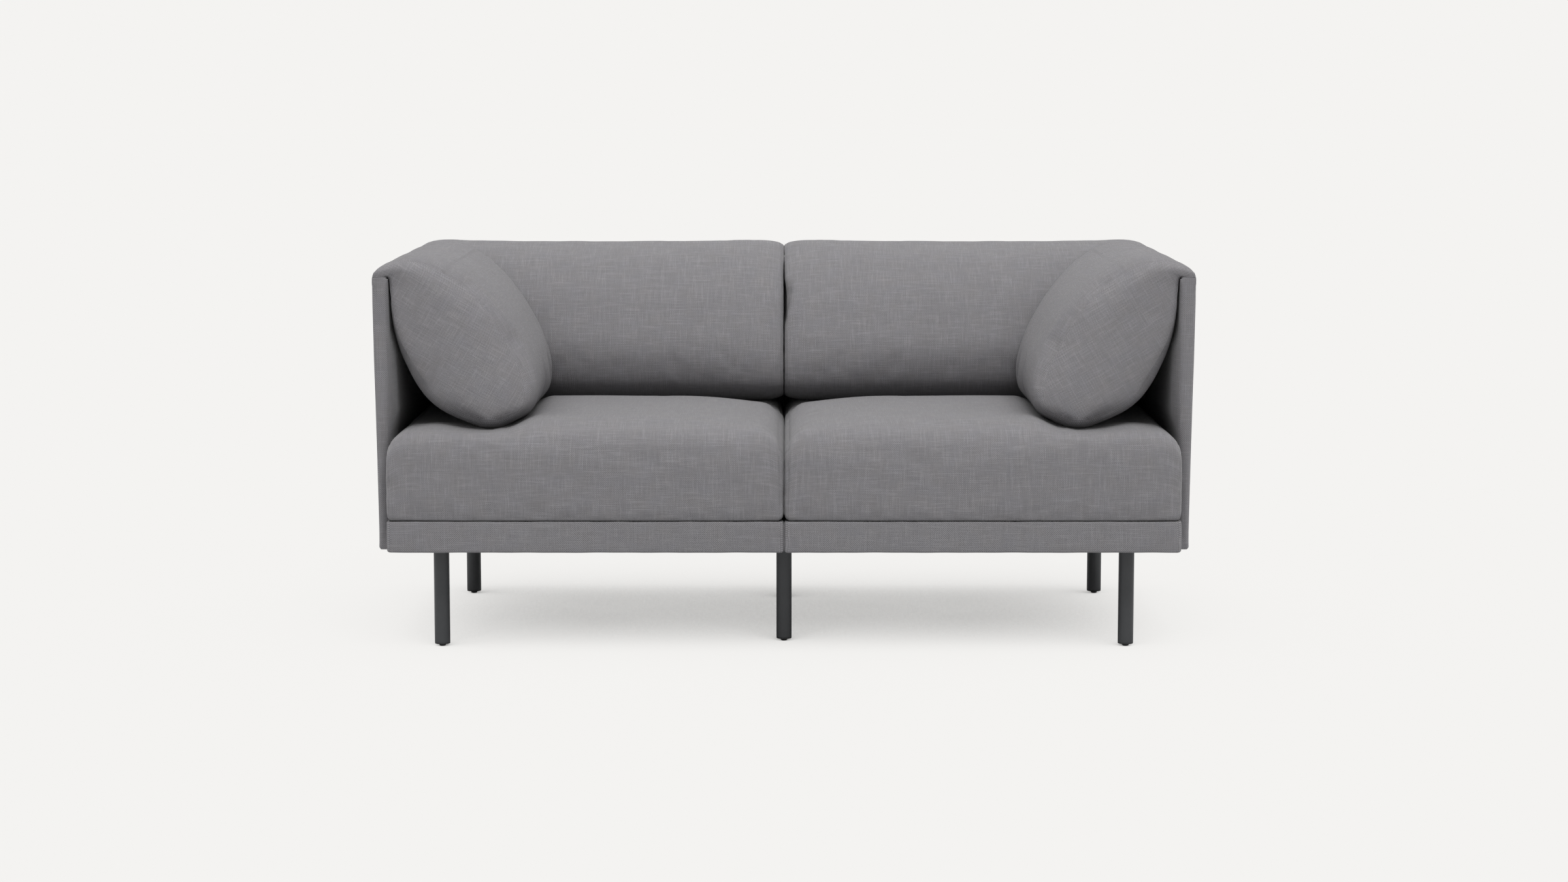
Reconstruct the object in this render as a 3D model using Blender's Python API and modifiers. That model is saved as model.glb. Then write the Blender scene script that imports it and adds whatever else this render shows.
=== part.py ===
# Two-seater sofa made of two joined seat modules, on six round steel legs.
# Metres. X runs to the right as seen from the front, Y from front to back, Z up from the floor.
# The origin is on the floor, under the middle of the whole sofa.

from math import cos, pi, sin, sqrt

import bmesh
import bpy

# Clearance between pieces that touch, and how far a cutter runs past what it cuts
CLEARANCE = 0.0003
OVERRUN = 0.004

# Seat base, one for each module
MODULE_WIDTH = 0.8075
MODULE_GAP = 0.003
BASE_DEPTH = 0.851
BASE_HEIGHT = 0.064
BASE_UNDERSIDE = 0.21
BASE_COVER = 0.006
BASE_COVER_ROUND = 0.005
RAIL_THICKNESS = 0.022
PLANK_WIDTH = 0.19
PLANK_THICKNESS = 0.018
DUST_COVER = 0.001
WEBBING = 0.0015
WEBBING_BELOW_TOP = 0.0012
WEBBING_WINDOW = 0.085
WEBBING_WINDOWS_ACROSS = 5
WEBBING_WINDOWS_DEEP = 5

# Seat cushion
SEAT_OVERHANG = 0.004
SEAT_HEIGHT = 0.178
SEAT_CROWN = 0.022
CROWN_EDGE = 0.12
SEAT_FRONT_ROUND = 0.035
SEAT_SIDE_ROUND = 0.045
SEAT_CORNER_ROUND = 0.012
SEAT_BULGE = 0.003
SEAT_DRAW_IN = 0.003
SEAT_DRAW_IN_LENGTH = 0.15

# Arm and back panels: a board in a padded cover
PANEL_BOARD = 0.018
PANEL_PADDING = 0.0052
PANEL_ROUND = 0.005
PANEL_GAP = 0.0006
PANEL_DROP = 0.006
PANEL_HEIGHT = 0.562
PANEL_HEM = 0.002
ARM_SETBACK = 0.08

# Arm and back cushions, which hang over the panels on a flap
CUSHION_DEPTH = 0.3
CUSHION_RISE = 0.04
CUSHION_END_ROUND = 0.022
CUSHION_DRAW_IN = 0.004
CUSHION_DRAW_IN_LENGTH = 0.12
CUSHION_GAP = 0.004

# Legs
LEG_DIAMETER = 0.032
LEG_WALL = 0.002
LEG_INSET = 0.1
CENTRE_LEG_INSET = 0.16
LEG_PLATE = 0.08
CENTRE_LEG_PLATE = 0.15
LEG_PLATE_THICKNESS = 0.004
SCREW_HOLE_DIAMETER = 0.0055
SCREW_HOLE_EDGE = 0.013

# End plug in the foot of each leg, and the glide that screws into it
PLUG_LENGTH = 0.02
PLUG_FLANGE = 0.0015
GLIDE_PAD_DIAMETER = 0.014
GLIDE_PAD_HEIGHT = 0.0049
GLIDE_FLAT_DIAMETER = 0.009
GLIDE_STEM_DIAMETER = 0.008
GLIDE_STEM_LENGTH = 0.032

# Steel brackets that hold the panels to the bases
BRACKET_WIDTH = 0.04
BRACKET_THICKNESS = 0.003
BRACKET_UPRIGHT = 0.28
BRACKET_FOOT = 0.085
BRACKET_INSET = 0.23

ROUND_STEPS = 24
SMALL_ROUND_STEPS = 16
# Points nearer than this are one point in a turned piece
MERGE_DISTANCE = 0.00001

# Heights
BASE_TOP = BASE_UNDERSIDE + BASE_HEIGHT
FRAME_BOTTOM = BASE_UNDERSIDE + DUST_COVER + CLEARANCE
FRAME_TOP = BASE_TOP - WEBBING_BELOW_TOP - WEBBING - CLEARANCE
SEAT_BOTTOM = BASE_TOP + CLEARANCE
SEAT_TOP = SEAT_BOTTOM + SEAT_HEIGHT
PANEL_BOTTOM = BASE_UNDERSIDE - PANEL_DROP
PANEL_TOP = PANEL_BOTTOM + PANEL_HEIGHT
CUSHION_BOTTOM = SEAT_TOP + CLEARANCE
FLAP_BOTTOM = PANEL_TOP + CLEARANCE
LEG_TOP = BASE_UNDERSIDE - CLEARANCE
PLUG_BOTTOM = GLIDE_PAD_HEIGHT + CLEARANCE
LEG_BOTTOM = PLUG_BOTTOM + PLUG_FLANGE + CLEARANCE

# Places across the sofa, for the right-hand module
BASE_INNER_X = MODULE_GAP / 2
BASE_OUTER_X = BASE_INNER_X + MODULE_WIDTH
PANEL_THICKNESS = PANEL_BOARD + 2 * PANEL_PADDING
ARM_INNER_X = BASE_OUTER_X + PANEL_GAP
ARM_OUTER_X = ARM_INNER_X + PANEL_THICKNESS

# Places from front to back, with the whole depth centred on the origin
TOTAL_DEPTH = SEAT_OVERHANG + BASE_DEPTH + PANEL_GAP + PANEL_THICKNESS
SEAT_FRONT_Y = -TOTAL_DEPTH / 2
BASE_FRONT_Y = SEAT_FRONT_Y + SEAT_OVERHANG
BASE_REAR_Y = BASE_FRONT_Y + BASE_DEPTH
BACK_INNER_Y = BASE_REAR_Y + PANEL_GAP
BACK_OUTER_Y = BACK_INNER_Y + PANEL_THICKNESS
ARM_FRONT_Y = BASE_FRONT_Y + ARM_SETBACK

SIDES = {"left": -1, "right": 1}

# Section of an arm or back cushion below the top of its panel: height as a share of the drop from
# the panel's top to the seat, then its rear and front face as shares of the cushion's reach
BODY_SHARES = [
    (0.0, 0.6, 0.76),
    (0.025, 0.51, 0.852),
    (0.08, 0.385, 0.937),
    (0.182, 0.262, 0.992),
    (0.283, 0.198, 1.0),
    (0.423, 0.128, 0.967),
    (0.588, 0.066, 0.881),
    (0.761, 0.03, 0.768),
    (0.889, 0.014, 0.647),
    (1.0, 0.004, 0.505),
]
# The same section above the panel: height as a share of the crest's rise, the faces as above, and how
# much of the end's rounding the rear face takes. A rear share below zero is a share of the panel's
# thickness, which the flap lies on.
FLAP_SHARES = [
    (0.0, -1.0, 0.505, 0.0),
    (0.27, -1.0, 0.447, 0.0),
    (0.42, -0.78, 0.41, 0.0),
    (0.58, -0.5, 0.372, 0.1),
    (0.72, -0.17, 0.325, 0.3),
    (0.9, 0.06, 0.235, 0.7),
]
SHOULDER_SHARES = FLAP_SHARES[1:-1]
CREST_SHARE = 0.18

# Stations where an end is rounded, as shares of the rounding, and between the ends, as shares of the length
ROUND_STATION_SHARES = [0.0, 0.1, 0.35, 1.0]
MIDDLE_STATION_SHARES = [0.12, 0.3, 0.5, 0.7, 0.88]

# The seat's crown rises between these shares of the reach of the cushions that rest on it
CROWN_START_SHARE = 0.8
CROWN_END_SHARE = 1.13
CROWN_SLOPE_SHARES = [0.0, 0.33, 0.67, 1.0]
CROWN_EDGE_SHARES = [0.0, 0.2, 0.5, 1.0]
SIDE_ROUND_SHARES = [0.0, 0.08, 0.27, 0.55]
QUARTER_SHARES = [0.0, 1 / 3, 2 / 3, 1.0]
FACE_SHARES = [0.25, 0.5, 0.75]


def clear_scene():
    for thing in list(bpy.data.objects):
        bpy.data.objects.remove(thing)


def make_collection(name):
    made = bpy.data.collections.new(name)
    bpy.context.scene.collection.children.link(made)
    return made


def make_material(name, colour, roughness, metallic=0.0):
    made = bpy.data.materials.new(name)
    made.use_nodes = True
    shader = made.node_tree.nodes["Principled BSDF"]
    shader.inputs["Base Color"].default_value = (*colour, 1.0)
    shader.inputs["Roughness"].default_value = roughness
    shader.inputs["Metallic"].default_value = metallic
    return made


clear_scene()
SOFA = make_collection("two_seater_sofa")
CUTTERS = make_collection("cutters")
FABRIC = make_material("grey_woven_fabric", (0.215, 0.21, 0.215), 0.9)
STEEL = make_material("charcoal_powder_coat", (0.045, 0.047, 0.05), 0.45, 0.6)
ZINC = make_material("zinc_plated_steel", (0.55, 0.56, 0.58), 0.35, 0.9)
WOOD = make_material("birch_plywood", (0.62, 0.45, 0.27), 0.7)
WEB = make_material("black_elastic_webbing", (0.02, 0.02, 0.022), 0.9)
LINING = make_material("black_lining", (0.012, 0.012, 0.013), 0.95)
NYLON = make_material("black_nylon", (0.015, 0.015, 0.016), 0.5)


def add_object(name, mesh, surface, place=(0.0, 0.0, 0.0)):
    made = bpy.data.objects.new(name, mesh)
    made.location = place
    SOFA.objects.link(made)
    if surface:
        mesh.materials.append(surface)
    return made


def box(name, low, high, surface):
    """A box between two corners, with its origin at its centre."""
    size = [abs(b - a) for a, b in zip(low, high)]
    centre = [(a + b) / 2 for a, b in zip(low, high)]
    shape = bmesh.new()
    bmesh.ops.create_cube(shape, size=1.0)
    bmesh.ops.scale(shape, vec=size, verts=shape.verts)
    mesh = bpy.data.meshes.new(name)
    shape.to_mesh(mesh)
    shape.free()
    return add_object(name, mesh, surface, centre)


def make_cutter(thing):
    SOFA.objects.unlink(thing)
    CUTTERS.objects.link(thing)
    thing.hide_render = True
    thing.display_type = "WIRE"
    return thing


def cut(thing, cutter):
    """Takes the cutter's shape out of a piece."""
    modifier = thing.modifiers.new("cut", "BOOLEAN")
    modifier.operation = "DIFFERENCE"
    modifier.object = cutter


def cut_box(thing, low, high):
    cutter = box(f"{thing.name}_cutter", low, high, None)
    cut(thing, make_cutter(cutter))


def join(thing, other):
    """Makes the other shape part of a piece."""
    modifier = thing.modifiers.new("join", "BOOLEAN")
    modifier.operation = "UNION"
    modifier.object = make_cutter(other)


def round_edges(thing, width, segments):
    modifier = thing.modifiers.new("rounded edges", "BEVEL")
    modifier.width = width
    modifier.segments = segments
    modifier.limit_method = "ANGLE"
    thing.data.shade_smooth()


def cylinder(name, centre, radius, low, high, surface, steps):
    shape = bmesh.new()
    bmesh.ops.create_cone(
        shape, cap_ends=True, segments=steps, radius1=radius, radius2=radius, depth=high - low
    )
    mesh = bpy.data.meshes.new(name)
    shape.to_mesh(mesh)
    shape.free()
    return add_object(name, mesh, surface, (centre[0], centre[1], (low + high) / 2))


def turned(name, profile, edges, centre, surface, steps):
    """A round piece from a (radius, height) profile, given with its edges, turned about its centre."""
    mesh = bpy.data.meshes.new(name)
    mesh.from_pydata([(radius, 0.0, height) for radius, height in profile], edges, [])
    made = add_object(name, mesh, surface, (centre[0], centre[1], 0.0))
    screw = made.modifiers.new("turned", "SCREW")
    screw.steps = steps
    screw.render_steps = steps
    screw.use_merge_vertices = True
    screw.merge_threshold = MERGE_DISTANCE
    return made


def bridge(shape, here, there):
    """Faces between two rings of corners."""
    count = len(here)
    for i in range(count):
        j = (i + 1) % count
        shape.faces.new((here[i], here[j], there[j], there[i]))


def close(shape, row, caps):
    for corners in caps:
        shape.faces.new([row[i] for i in corners])


def loft(name, rings, caps, origin, step=None):
    """A soft form through rings of points, closed at both ends by faces across the ring.
    step, if given, is (faces that close part of the last ring, corners that go on, further rings)."""
    shape = bmesh.new()

    def corners(ring):
        return [shape.verts.new([value - start for value, start in zip(point, origin)]) for point in ring]

    rows = [corners(ring) for ring in rings]
    close(shape, rows[0], caps)
    if step:
        step_caps, kept, further = step
        close(shape, rows[-1], step_caps)
    for here, there in zip(rows, rows[1:]):
        bridge(shape, here, there)
    if step:
        more = [[rows[-1][i] for i in kept]] + [corners(ring) for ring in further]
        for here, there in zip(more, more[1:]):
            bridge(shape, here, there)
        close(shape, more[-1], [tuple(range(len(kept)))])
    else:
        close(shape, rows[-1], caps)
    bmesh.ops.recalc_face_normals(shape, faces=shape.faces)
    mesh = bpy.data.meshes.new(name)
    shape.to_mesh(mesh)
    shape.free()
    mesh.shade_smooth()
    return add_object(name, mesh, FABRIC, origin)


def ease(value):
    """Rises smoothly from 0 to 1."""
    held = min(max(value, 0.0), 1.0)
    return held * held * (3 - 2 * held)


def fillet(distance, radius):
    """How far a rounded edge lies inside the square one, at a distance from its end."""
    if distance >= radius:
        return 0.0
    return radius - sqrt(max(radius**2 - (radius - distance) ** 2, 0.0))


# Section of the arm and back cushions


def rear_face(share):
    """Distance from the panel's inner face towards the sitter, or back over the panel if it is below zero."""
    return share * (CUSHION_DEPTH if share > 0 else PANEL_THICKNESS)


def section_points():
    """(distance from the panel's inner face, height, softness) round the section, from the bottom
    up the side that faces the panel, over the crest and down the side that faces the sitter."""
    drop = FLAP_BOTTOM - CUSHION_BOTTOM
    reach = CUSHION_DEPTH
    rear = [(rear_face(back), CUSHION_BOTTOM + up * drop, 1.0) for up, back, _ in BODY_SHARES[:-1]]
    rear += [(rear_face(BODY_SHARES[-1][1]), FLAP_BOTTOM, 0.0)]
    front = [(ahead * reach, CUSHION_BOTTOM + up * drop, 1.0) for up, _, ahead in BODY_SHARES[:-1]]
    over = [(rear_face(back), FLAP_BOTTOM + up * CUSHION_RISE, soft) for up, back, _, soft in FLAP_SHARES]
    crest = [(CREST_SHARE * reach, FLAP_BOTTOM + CUSHION_RISE, 1.0)]
    down = [(ahead * reach, FLAP_BOTTOM + up * CUSHION_RISE, 1.0) for up, _, ahead, _ in FLAP_SHARES]
    return rear + over + crest + down[::-1] + front[::-1]


BODY_LEVELS = len(BODY_SHARES)
FLAP_LEVELS = len(FLAP_SHARES)
SECTION_CORNERS = len(section_points())
FLAP_BACK = [BODY_LEVELS + i for i in range(FLAP_LEVELS)]
CREST = BODY_LEVELS + FLAP_LEVELS
FLAP_FRONT = [CREST + FLAP_LEVELS - i for i in range(FLAP_LEVELS)]


def body_caps():
    """Faces that close the section below the flap, each between two of its levels."""
    front = [SECTION_CORNERS - 1 - i for i in range(BODY_LEVELS)]
    return [(i, front[i], front[i + 1], i + 1) for i in range(BODY_LEVELS - 1)]


def flap_caps():
    """Faces that close the section above the panel, each between two of its levels."""
    corner = BODY_LEVELS - 1
    faces = [(FLAP_BACK[0], corner, FLAP_BACK[1]), (FLAP_BACK[1], corner, FLAP_FRONT[0], FLAP_FRONT[1])]
    for i in range(1, FLAP_LEVELS - 1):
        faces.append((FLAP_BACK[i], FLAP_FRONT[i], FLAP_FRONT[i + 1], FLAP_BACK[i + 1]))
    faces.append((FLAP_BACK[-1], FLAP_FRONT[-1], CREST))
    return faces


def inward(points):
    """The inward direction at each point of the section, as (towards the sitter, up)."""
    found = []
    count = len(points)
    for i in range(count):
        before, after = points[i - 1], points[(i + 1) % count]
        along, up = after[0] - before[0], after[1] - before[1]
        size = sqrt(along**2 + up**2)
        found.append((up / size, -along / size))
    return found


def section_ring(inset):
    """The section drawn in by a rounding, as (distance from the panel, height)."""
    points = section_points()
    ways = inward(points)
    return [
        (away + way[0] * inset * soft, height + way[1] * inset * soft)
        for (away, height, soft), way in zip(points, ways)
    ]


def front_reach(height):
    """How far a back cushion's front face stands from its panel, at a height or anywhere above it."""
    drop = FLAP_BOTTOM - CUSHION_BOTTOM
    levels = [(CUSHION_BOTTOM + up * drop, ahead) for up, _, ahead in BODY_SHARES]
    levels += [(FLAP_BOTTOM + up * CUSHION_RISE, ahead) for up, _, ahead, _ in FLAP_SHARES[1:]]
    levels.append((FLAP_BOTTOM + CUSHION_RISE, CREST_SHARE))
    reached = [ahead for level, ahead in levels if level >= height]
    for (low, near), (high, far) in zip(levels, levels[1:]):
        if low <= height <= high:
            reached.append(near + (far - near) * (height - low) / (high - low))
    return max(reached, default=CREST_SHARE) * CUSHION_DEPTH


def pulled_in(distance):
    """How far a cushion's section is drawn in, at a distance from its nearer sewn end."""
    pull = CUSHION_DRAW_IN * (1 - ease(distance / CUSHION_DRAW_IN_LENGTH))
    return fillet(distance, CUSHION_END_ROUND) + pull


def end_stations():
    return [share * CUSHION_END_ROUND for share in ROUND_STATION_SHARES]


def arm_cushion(name, side):
    """Hangs from the arm panel's top, and its far end is shaped to the front of the back cushion.
    Its origin is on the line that it turns about when it is lifted, at the panel's outer top edge."""
    length = BACK_INNER_Y - ARM_FRONT_Y
    middle = [share * length for share in MIDDLE_STATION_SHARES]
    places = end_stations() + middle + [length - place for place in reversed(end_stations())]
    rings = []
    for place in places:
        ring = []
        for away, height in section_ring(pulled_in(min(place, length - place))):
            far = BACK_INNER_Y - front_reach(height) - CUSHION_GAP
            y = ARM_FRONT_Y + (place / length) * (far - ARM_FRONT_Y)
            ring.append((side * (ARM_INNER_X - away), y, height))
        rings.append(ring)
    origin = (side * ARM_OUTER_X, ARM_FRONT_Y, FLAP_BOTTOM)
    return loft(name, rings, body_caps() + flap_caps(), origin)


def shoulder_share(x):
    """How much of its crest the back cushion keeps at a place across the sofa. It follows the arm cushion."""
    profile = [(ARM_INNER_X - CREST_SHARE * CUSHION_DEPTH, 1.0)]
    profile += [(ARM_INNER_X - rear_face(back), up) for up, back, _, _ in FLAP_SHARES[:0:-1]]
    for (near, high), (far, low) in zip(profile, profile[1:]):
        if near <= x < far:
            return high + (low - high) * (x - near) / (far - near)
    return 1.0 if x < profile[0][0] else profile[-1][1]


def back_cushion(name, side):
    """Hangs from the back panel's top. It runs from the middle of the sofa to the arm panel, and its
    top goes on over the arm panel's rear corner."""
    outer = ARM_INNER_X - CLEARANCE
    length = outer - BASE_INNER_X
    middle = [share * length for share in MIDDLE_STATION_SHARES]
    crest_x = ARM_INNER_X - CREST_SHARE * CUSHION_DEPTH
    places = [BASE_INNER_X + place for place in end_stations() + middle]
    places += [crest_x, (crest_x + outer) / 2, outer]

    def ring_at(x):
        ring = []
        for away, height in section_ring(pulled_in(x - BASE_INNER_X)):
            over = max(height - FLAP_BOTTOM, 0.0)
            ring.append((side * x, BACK_INNER_Y - away, height - over * (1 - shoulder_share(x))))
        return ring

    kept = [BODY_LEVELS - 1, *FLAP_BACK, CREST, *reversed(FLAP_FRONT)]
    over_panel = [ARM_INNER_X - rear_face(back) for _, back, _, _ in reversed(SHOULDER_SHARES)]
    further = [[ring_at(x)[i] for i in kept] for x in over_panel]
    step = (body_caps(), kept, further)
    origin = (side * outer, BACK_OUTER_Y, FLAP_BOTTOM)
    return loft(name, [ring_at(x) for x in places], body_caps() + flap_caps(), origin, step)


# Seat cushion


def crown(x, y):
    """Height of the seat's crown. It starts in front of the arm and back cushions that rest on the seat."""
    span = CROWN_END_SHARE - CROWN_START_SHARE
    from_arm = ease(((ARM_INNER_X - x) / CUSHION_DEPTH - CROWN_START_SHARE) / span)
    from_back = ease(((BACK_INNER_Y - y) / CUSHION_DEPTH - CROWN_START_SHARE) / span)
    from_middle = ease((x - BASE_INNER_X) / CROWN_EDGE)
    from_front = ease((y - SEAT_FRONT_Y) / CROWN_EDGE)
    return SEAT_CROWN * from_arm * from_back * sqrt(from_middle * from_front)


def quarter_turn():
    return [share * pi / 2 for share in QUARTER_SHARES]


def crown_stations(low, high, far):
    """Places from an open edge to one under a cushion that reaches out from far."""
    places = [low + share * CROWN_EDGE for share in CROWN_EDGE_SHARES]
    start, end = far - CROWN_START_SHARE * CUSHION_DEPTH, far - CROWN_END_SHARE * CUSHION_DEPTH
    places += [(places[-1] + end) / 2]
    places += [end + share * (start - end) for share in CROWN_SLOPE_SHARES]
    places += [(start + high) / 2]
    return places


def seat_ring(x, distance):
    """The seat cushion's outline from its lower front edge round to its lower rear edge, as (y, z),
    at a place that lies a distance from its nearer side."""
    inset = fillet(distance, SEAT_CORNER_ROUND)
    pull = SEAT_DRAW_IN * (1 - ease(distance / SEAT_DRAW_IN_LENGTH))
    front, rear = SEAT_FRONT_Y + inset + pull, BACK_INNER_Y - CLEARANCE - inset
    bottom, top = SEAT_BOTTOM + inset, SEAT_TOP - fillet(distance, SEAT_SIDE_ROUND)
    low, high = bottom + SEAT_CORNER_ROUND, top - SEAT_FRONT_ROUND
    ring = []
    for turn in quarter_turn():
        y = front + SEAT_BULGE + (SEAT_CORNER_ROUND - SEAT_BULGE) * (1 - sin(turn))
        ring.append((y, bottom + SEAT_CORNER_ROUND * (1 - cos(turn))))
    for share in FACE_SHARES:
        ring.append((front + SEAT_BULGE * (2 * share - 1) ** 2, low + share * (high - low)))
    for turn in quarter_turn():
        y = front + SEAT_BULGE + (SEAT_FRONT_ROUND - SEAT_BULGE) * (1 - cos(turn))
        ring.append((y, high + SEAT_FRONT_ROUND * sin(turn)))
    for y in crown_stations(SEAT_FRONT_Y + SEAT_FRONT_ROUND, BACK_INNER_Y - SEAT_FRONT_ROUND, BACK_INNER_Y):
        ring.append((y, top + crown(x, y)))
    for turn in quarter_turn():
        ring.append((rear - SEAT_FRONT_ROUND * (1 - sin(turn)), high + SEAT_FRONT_ROUND * cos(turn)))
    for turn in quarter_turn():
        y = rear - SEAT_CORNER_ROUND * (1 - cos(turn))
        ring.append((y, bottom + SEAT_CORNER_ROUND * (1 - sin(turn))))
    return ring


def seat_cushion(name, side):
    """A loose foam cushion, crowned in front of the arm and back cushions that rest on it."""
    inner, outer = BASE_INNER_X, ARM_INNER_X - CLEARANCE
    near = [share * SEAT_SIDE_ROUND for share in SIDE_ROUND_SHARES]
    middle = crown_stations(inner + SEAT_SIDE_ROUND, outer - SEAT_SIDE_ROUND, ARM_INNER_X)
    places = [inner + place for place in near] + middle + [outer - place for place in reversed(near)]
    rings = []
    for x in places:
        outline = seat_ring(x, min(x - inner, outer - x))
        rings.append([(side * x, y, z) for y, z in outline])
    origin = (side * (inner + outer) / 2, SEAT_FRONT_Y, SEAT_BOTTOM)
    return loft(name, rings, [tuple(range(len(rings[0])))], origin)


# Seat base


def base_cover(name, side):
    """Padded fabric sleeve round the base, open at the top and underneath."""
    made = box(
        name,
        (side * BASE_INNER_X, BASE_FRONT_Y, BASE_UNDERSIDE),
        (side * BASE_OUTER_X, BASE_REAR_Y, BASE_TOP),
        FABRIC,
    )
    round_edges(made, BASE_COVER_ROUND, 2)
    cut_box(
        made,
        (side * (BASE_INNER_X + BASE_COVER), BASE_FRONT_Y + BASE_COVER, BASE_UNDERSIDE - OVERRUN),
        (side * (BASE_OUTER_X - BASE_COVER), BASE_REAR_Y - BASE_COVER, BASE_TOP + OVERRUN),
    )
    return made


def base_inside():
    """The room inside a base's cover, as its lowest and highest x and y."""
    wall = BASE_COVER + CLEARANCE
    return (
        BASE_INNER_X + wall,
        BASE_OUTER_X - wall,
        BASE_FRONT_Y + wall,
        BASE_REAR_Y - wall,
    )


def base_frame(label, side):
    """Four wooden rails, and the two planks that carry the legs."""
    low_x, high_x, low_y, high_y = base_inside()
    front, rear = low_y + RAIL_THICKNESS, high_y - RAIL_THICKNESS
    between = (front + CLEARANCE, rear - CLEARANCE)
    inner, outer = low_x + RAIL_THICKNESS, high_x - RAIL_THICKNESS
    rails = [
        ("front", low_x, high_x, low_y, front),
        ("rear", low_x, high_x, rear, high_y),
        ("inner", low_x, inner, *between),
        ("outer", outer, high_x, *between),
    ]
    for word, near_x, far_x, near_y, far_y in rails:
        low, high = (side * near_x, near_y, FRAME_BOTTOM), (side * far_x, far_y, FRAME_TOP)
        box(f"{word}_rail_{label}", low, high, WOOD)
    plank_x = (inner + CLEARANCE, outer - CLEARANCE)
    plank_top = FRAME_BOTTOM + PLANK_THICKNESS
    box(
        f"front_leg_plank_{label}",
        (side * plank_x[0], between[0], FRAME_BOTTOM),
        (side * plank_x[1], between[0] + PLANK_WIDTH, plank_top),
        WOOD,
    )
    box(
        f"rear_leg_plank_{label}",
        (side * plank_x[0], between[1] - PLANK_WIDTH, FRAME_BOTTOM),
        (side * plank_x[1], between[1], plank_top),
        WOOD,
    )


def webbing(name, side):
    """Crossed elastic straps stapled on top of the rails, as one flat net."""
    low_x, high_x, low_y, high_y = base_inside()
    bottom = FRAME_TOP + CLEARANCE
    made = box(name, (side * low_x, low_y, bottom), (side * high_x, high_y, bottom + WEBBING), WEB)
    room_x, room_y = high_x - low_x - 2 * RAIL_THICKNESS, high_y - low_y - 2 * RAIL_THICKNESS
    step_x, step_y = room_x / WEBBING_WINDOWS_ACROSS, room_y / WEBBING_WINDOWS_DEEP
    half = WEBBING_WINDOW / 2
    shape = bmesh.new()
    for i in range(WEBBING_WINDOWS_ACROSS):
        for j in range(WEBBING_WINDOWS_DEEP):
            x = side * (low_x + RAIL_THICKNESS + (i + 0.5) * step_x)
            y = low_y + RAIL_THICKNESS + (j + 0.5) * step_y
            corners = bmesh.ops.create_cube(shape, size=1.0)["verts"]
            bmesh.ops.scale(shape, vec=(2 * half, 2 * half, WEBBING + 2 * OVERRUN), verts=corners)
            bmesh.ops.translate(shape, vec=(x, y, bottom + WEBBING / 2), verts=corners)
    mesh = bpy.data.meshes.new(f"{name}_windows")
    shape.to_mesh(mesh)
    shape.free()
    cut(made, make_cutter(add_object(f"{name}_windows", mesh, None)))
    return made


def dust_cover(name, side):
    low_x, high_x, low_y, high_y = base_inside()
    top = BASE_UNDERSIDE + DUST_COVER
    return box(name, (side * low_x, low_y, BASE_UNDERSIDE), (side * high_x, high_y, top), LINING)


# Arm and back panels


def panel(label, low, high, brackets):
    """A wooden board in a padded cover that is open underneath. low and high are the cover's corners.
    brackets are (slot low, slot high, notch low, notch high) boxes for the steel brackets."""
    wall = PANEL_PADDING
    cover = box(f"{label}_panel_cover", low, high, FABRIC)
    round_edges(cover, PANEL_ROUND, 2)
    inside_low = (low[0] + wall, low[1] + wall, low[2] - OVERRUN)
    inside_high = (high[0] - wall, high[1] - wall, high[2] - wall)
    cut_box(cover, inside_low, inside_high)
    board = box(
        f"{label}_panel_board",
        (inside_low[0] + CLEARANCE, inside_low[1] + CLEARANCE, low[2] + PANEL_HEM),
        tuple(value - CLEARANCE for value in inside_high),
        WOOD,
    )
    for slot_low, slot_high, notch_low, notch_high in brackets:
        cut_box(board, slot_low, slot_high)
        cut_box(cover, notch_low, notch_high)


def bracket(name, corner, inward_way, along):
    """An L of steel strip: its upright lies in the board's slot, its foot under the base.
    corner is the bend's outer corner, inward_way points under the base, and along is the width's way."""
    upright, foot, strip = BRACKET_UPRIGHT, BRACKET_FOOT, BRACKET_THICKNESS
    outline = [(0.0, 0.0), (foot, 0.0), (foot, strip), (strip, strip), (strip, upright), (0.0, upright)]
    shape = bmesh.new()
    rows = []
    for offset in (-BRACKET_WIDTH / 2, BRACKET_WIDTH / 2):
        row = []
        for out, up in outline:
            x = corner[0] + inward_way[0] * out + along[0] * offset
            y = corner[1] + inward_way[1] * out + along[1] * offset
            row.append(shape.verts.new((x, y, corner[2] + up)))
        rows.append(row)
    count = len(outline)
    for i in range(count):
        j = (i + 1) % count
        shape.faces.new((rows[0][i], rows[0][j], rows[1][j], rows[1][i]))
    for row in rows:
        shape.faces.new(row)
    bmesh.ops.recalc_face_normals(shape, faces=shape.faces)
    mesh = bpy.data.meshes.new(name)
    shape.to_mesh(mesh)
    shape.free()
    return add_object(name, mesh, ZINC)


FOOT_TOP = BASE_UNDERSIDE - CLEARANCE
FOOT_BOTTOM = FOOT_TOP - BRACKET_THICKNESS


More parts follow.
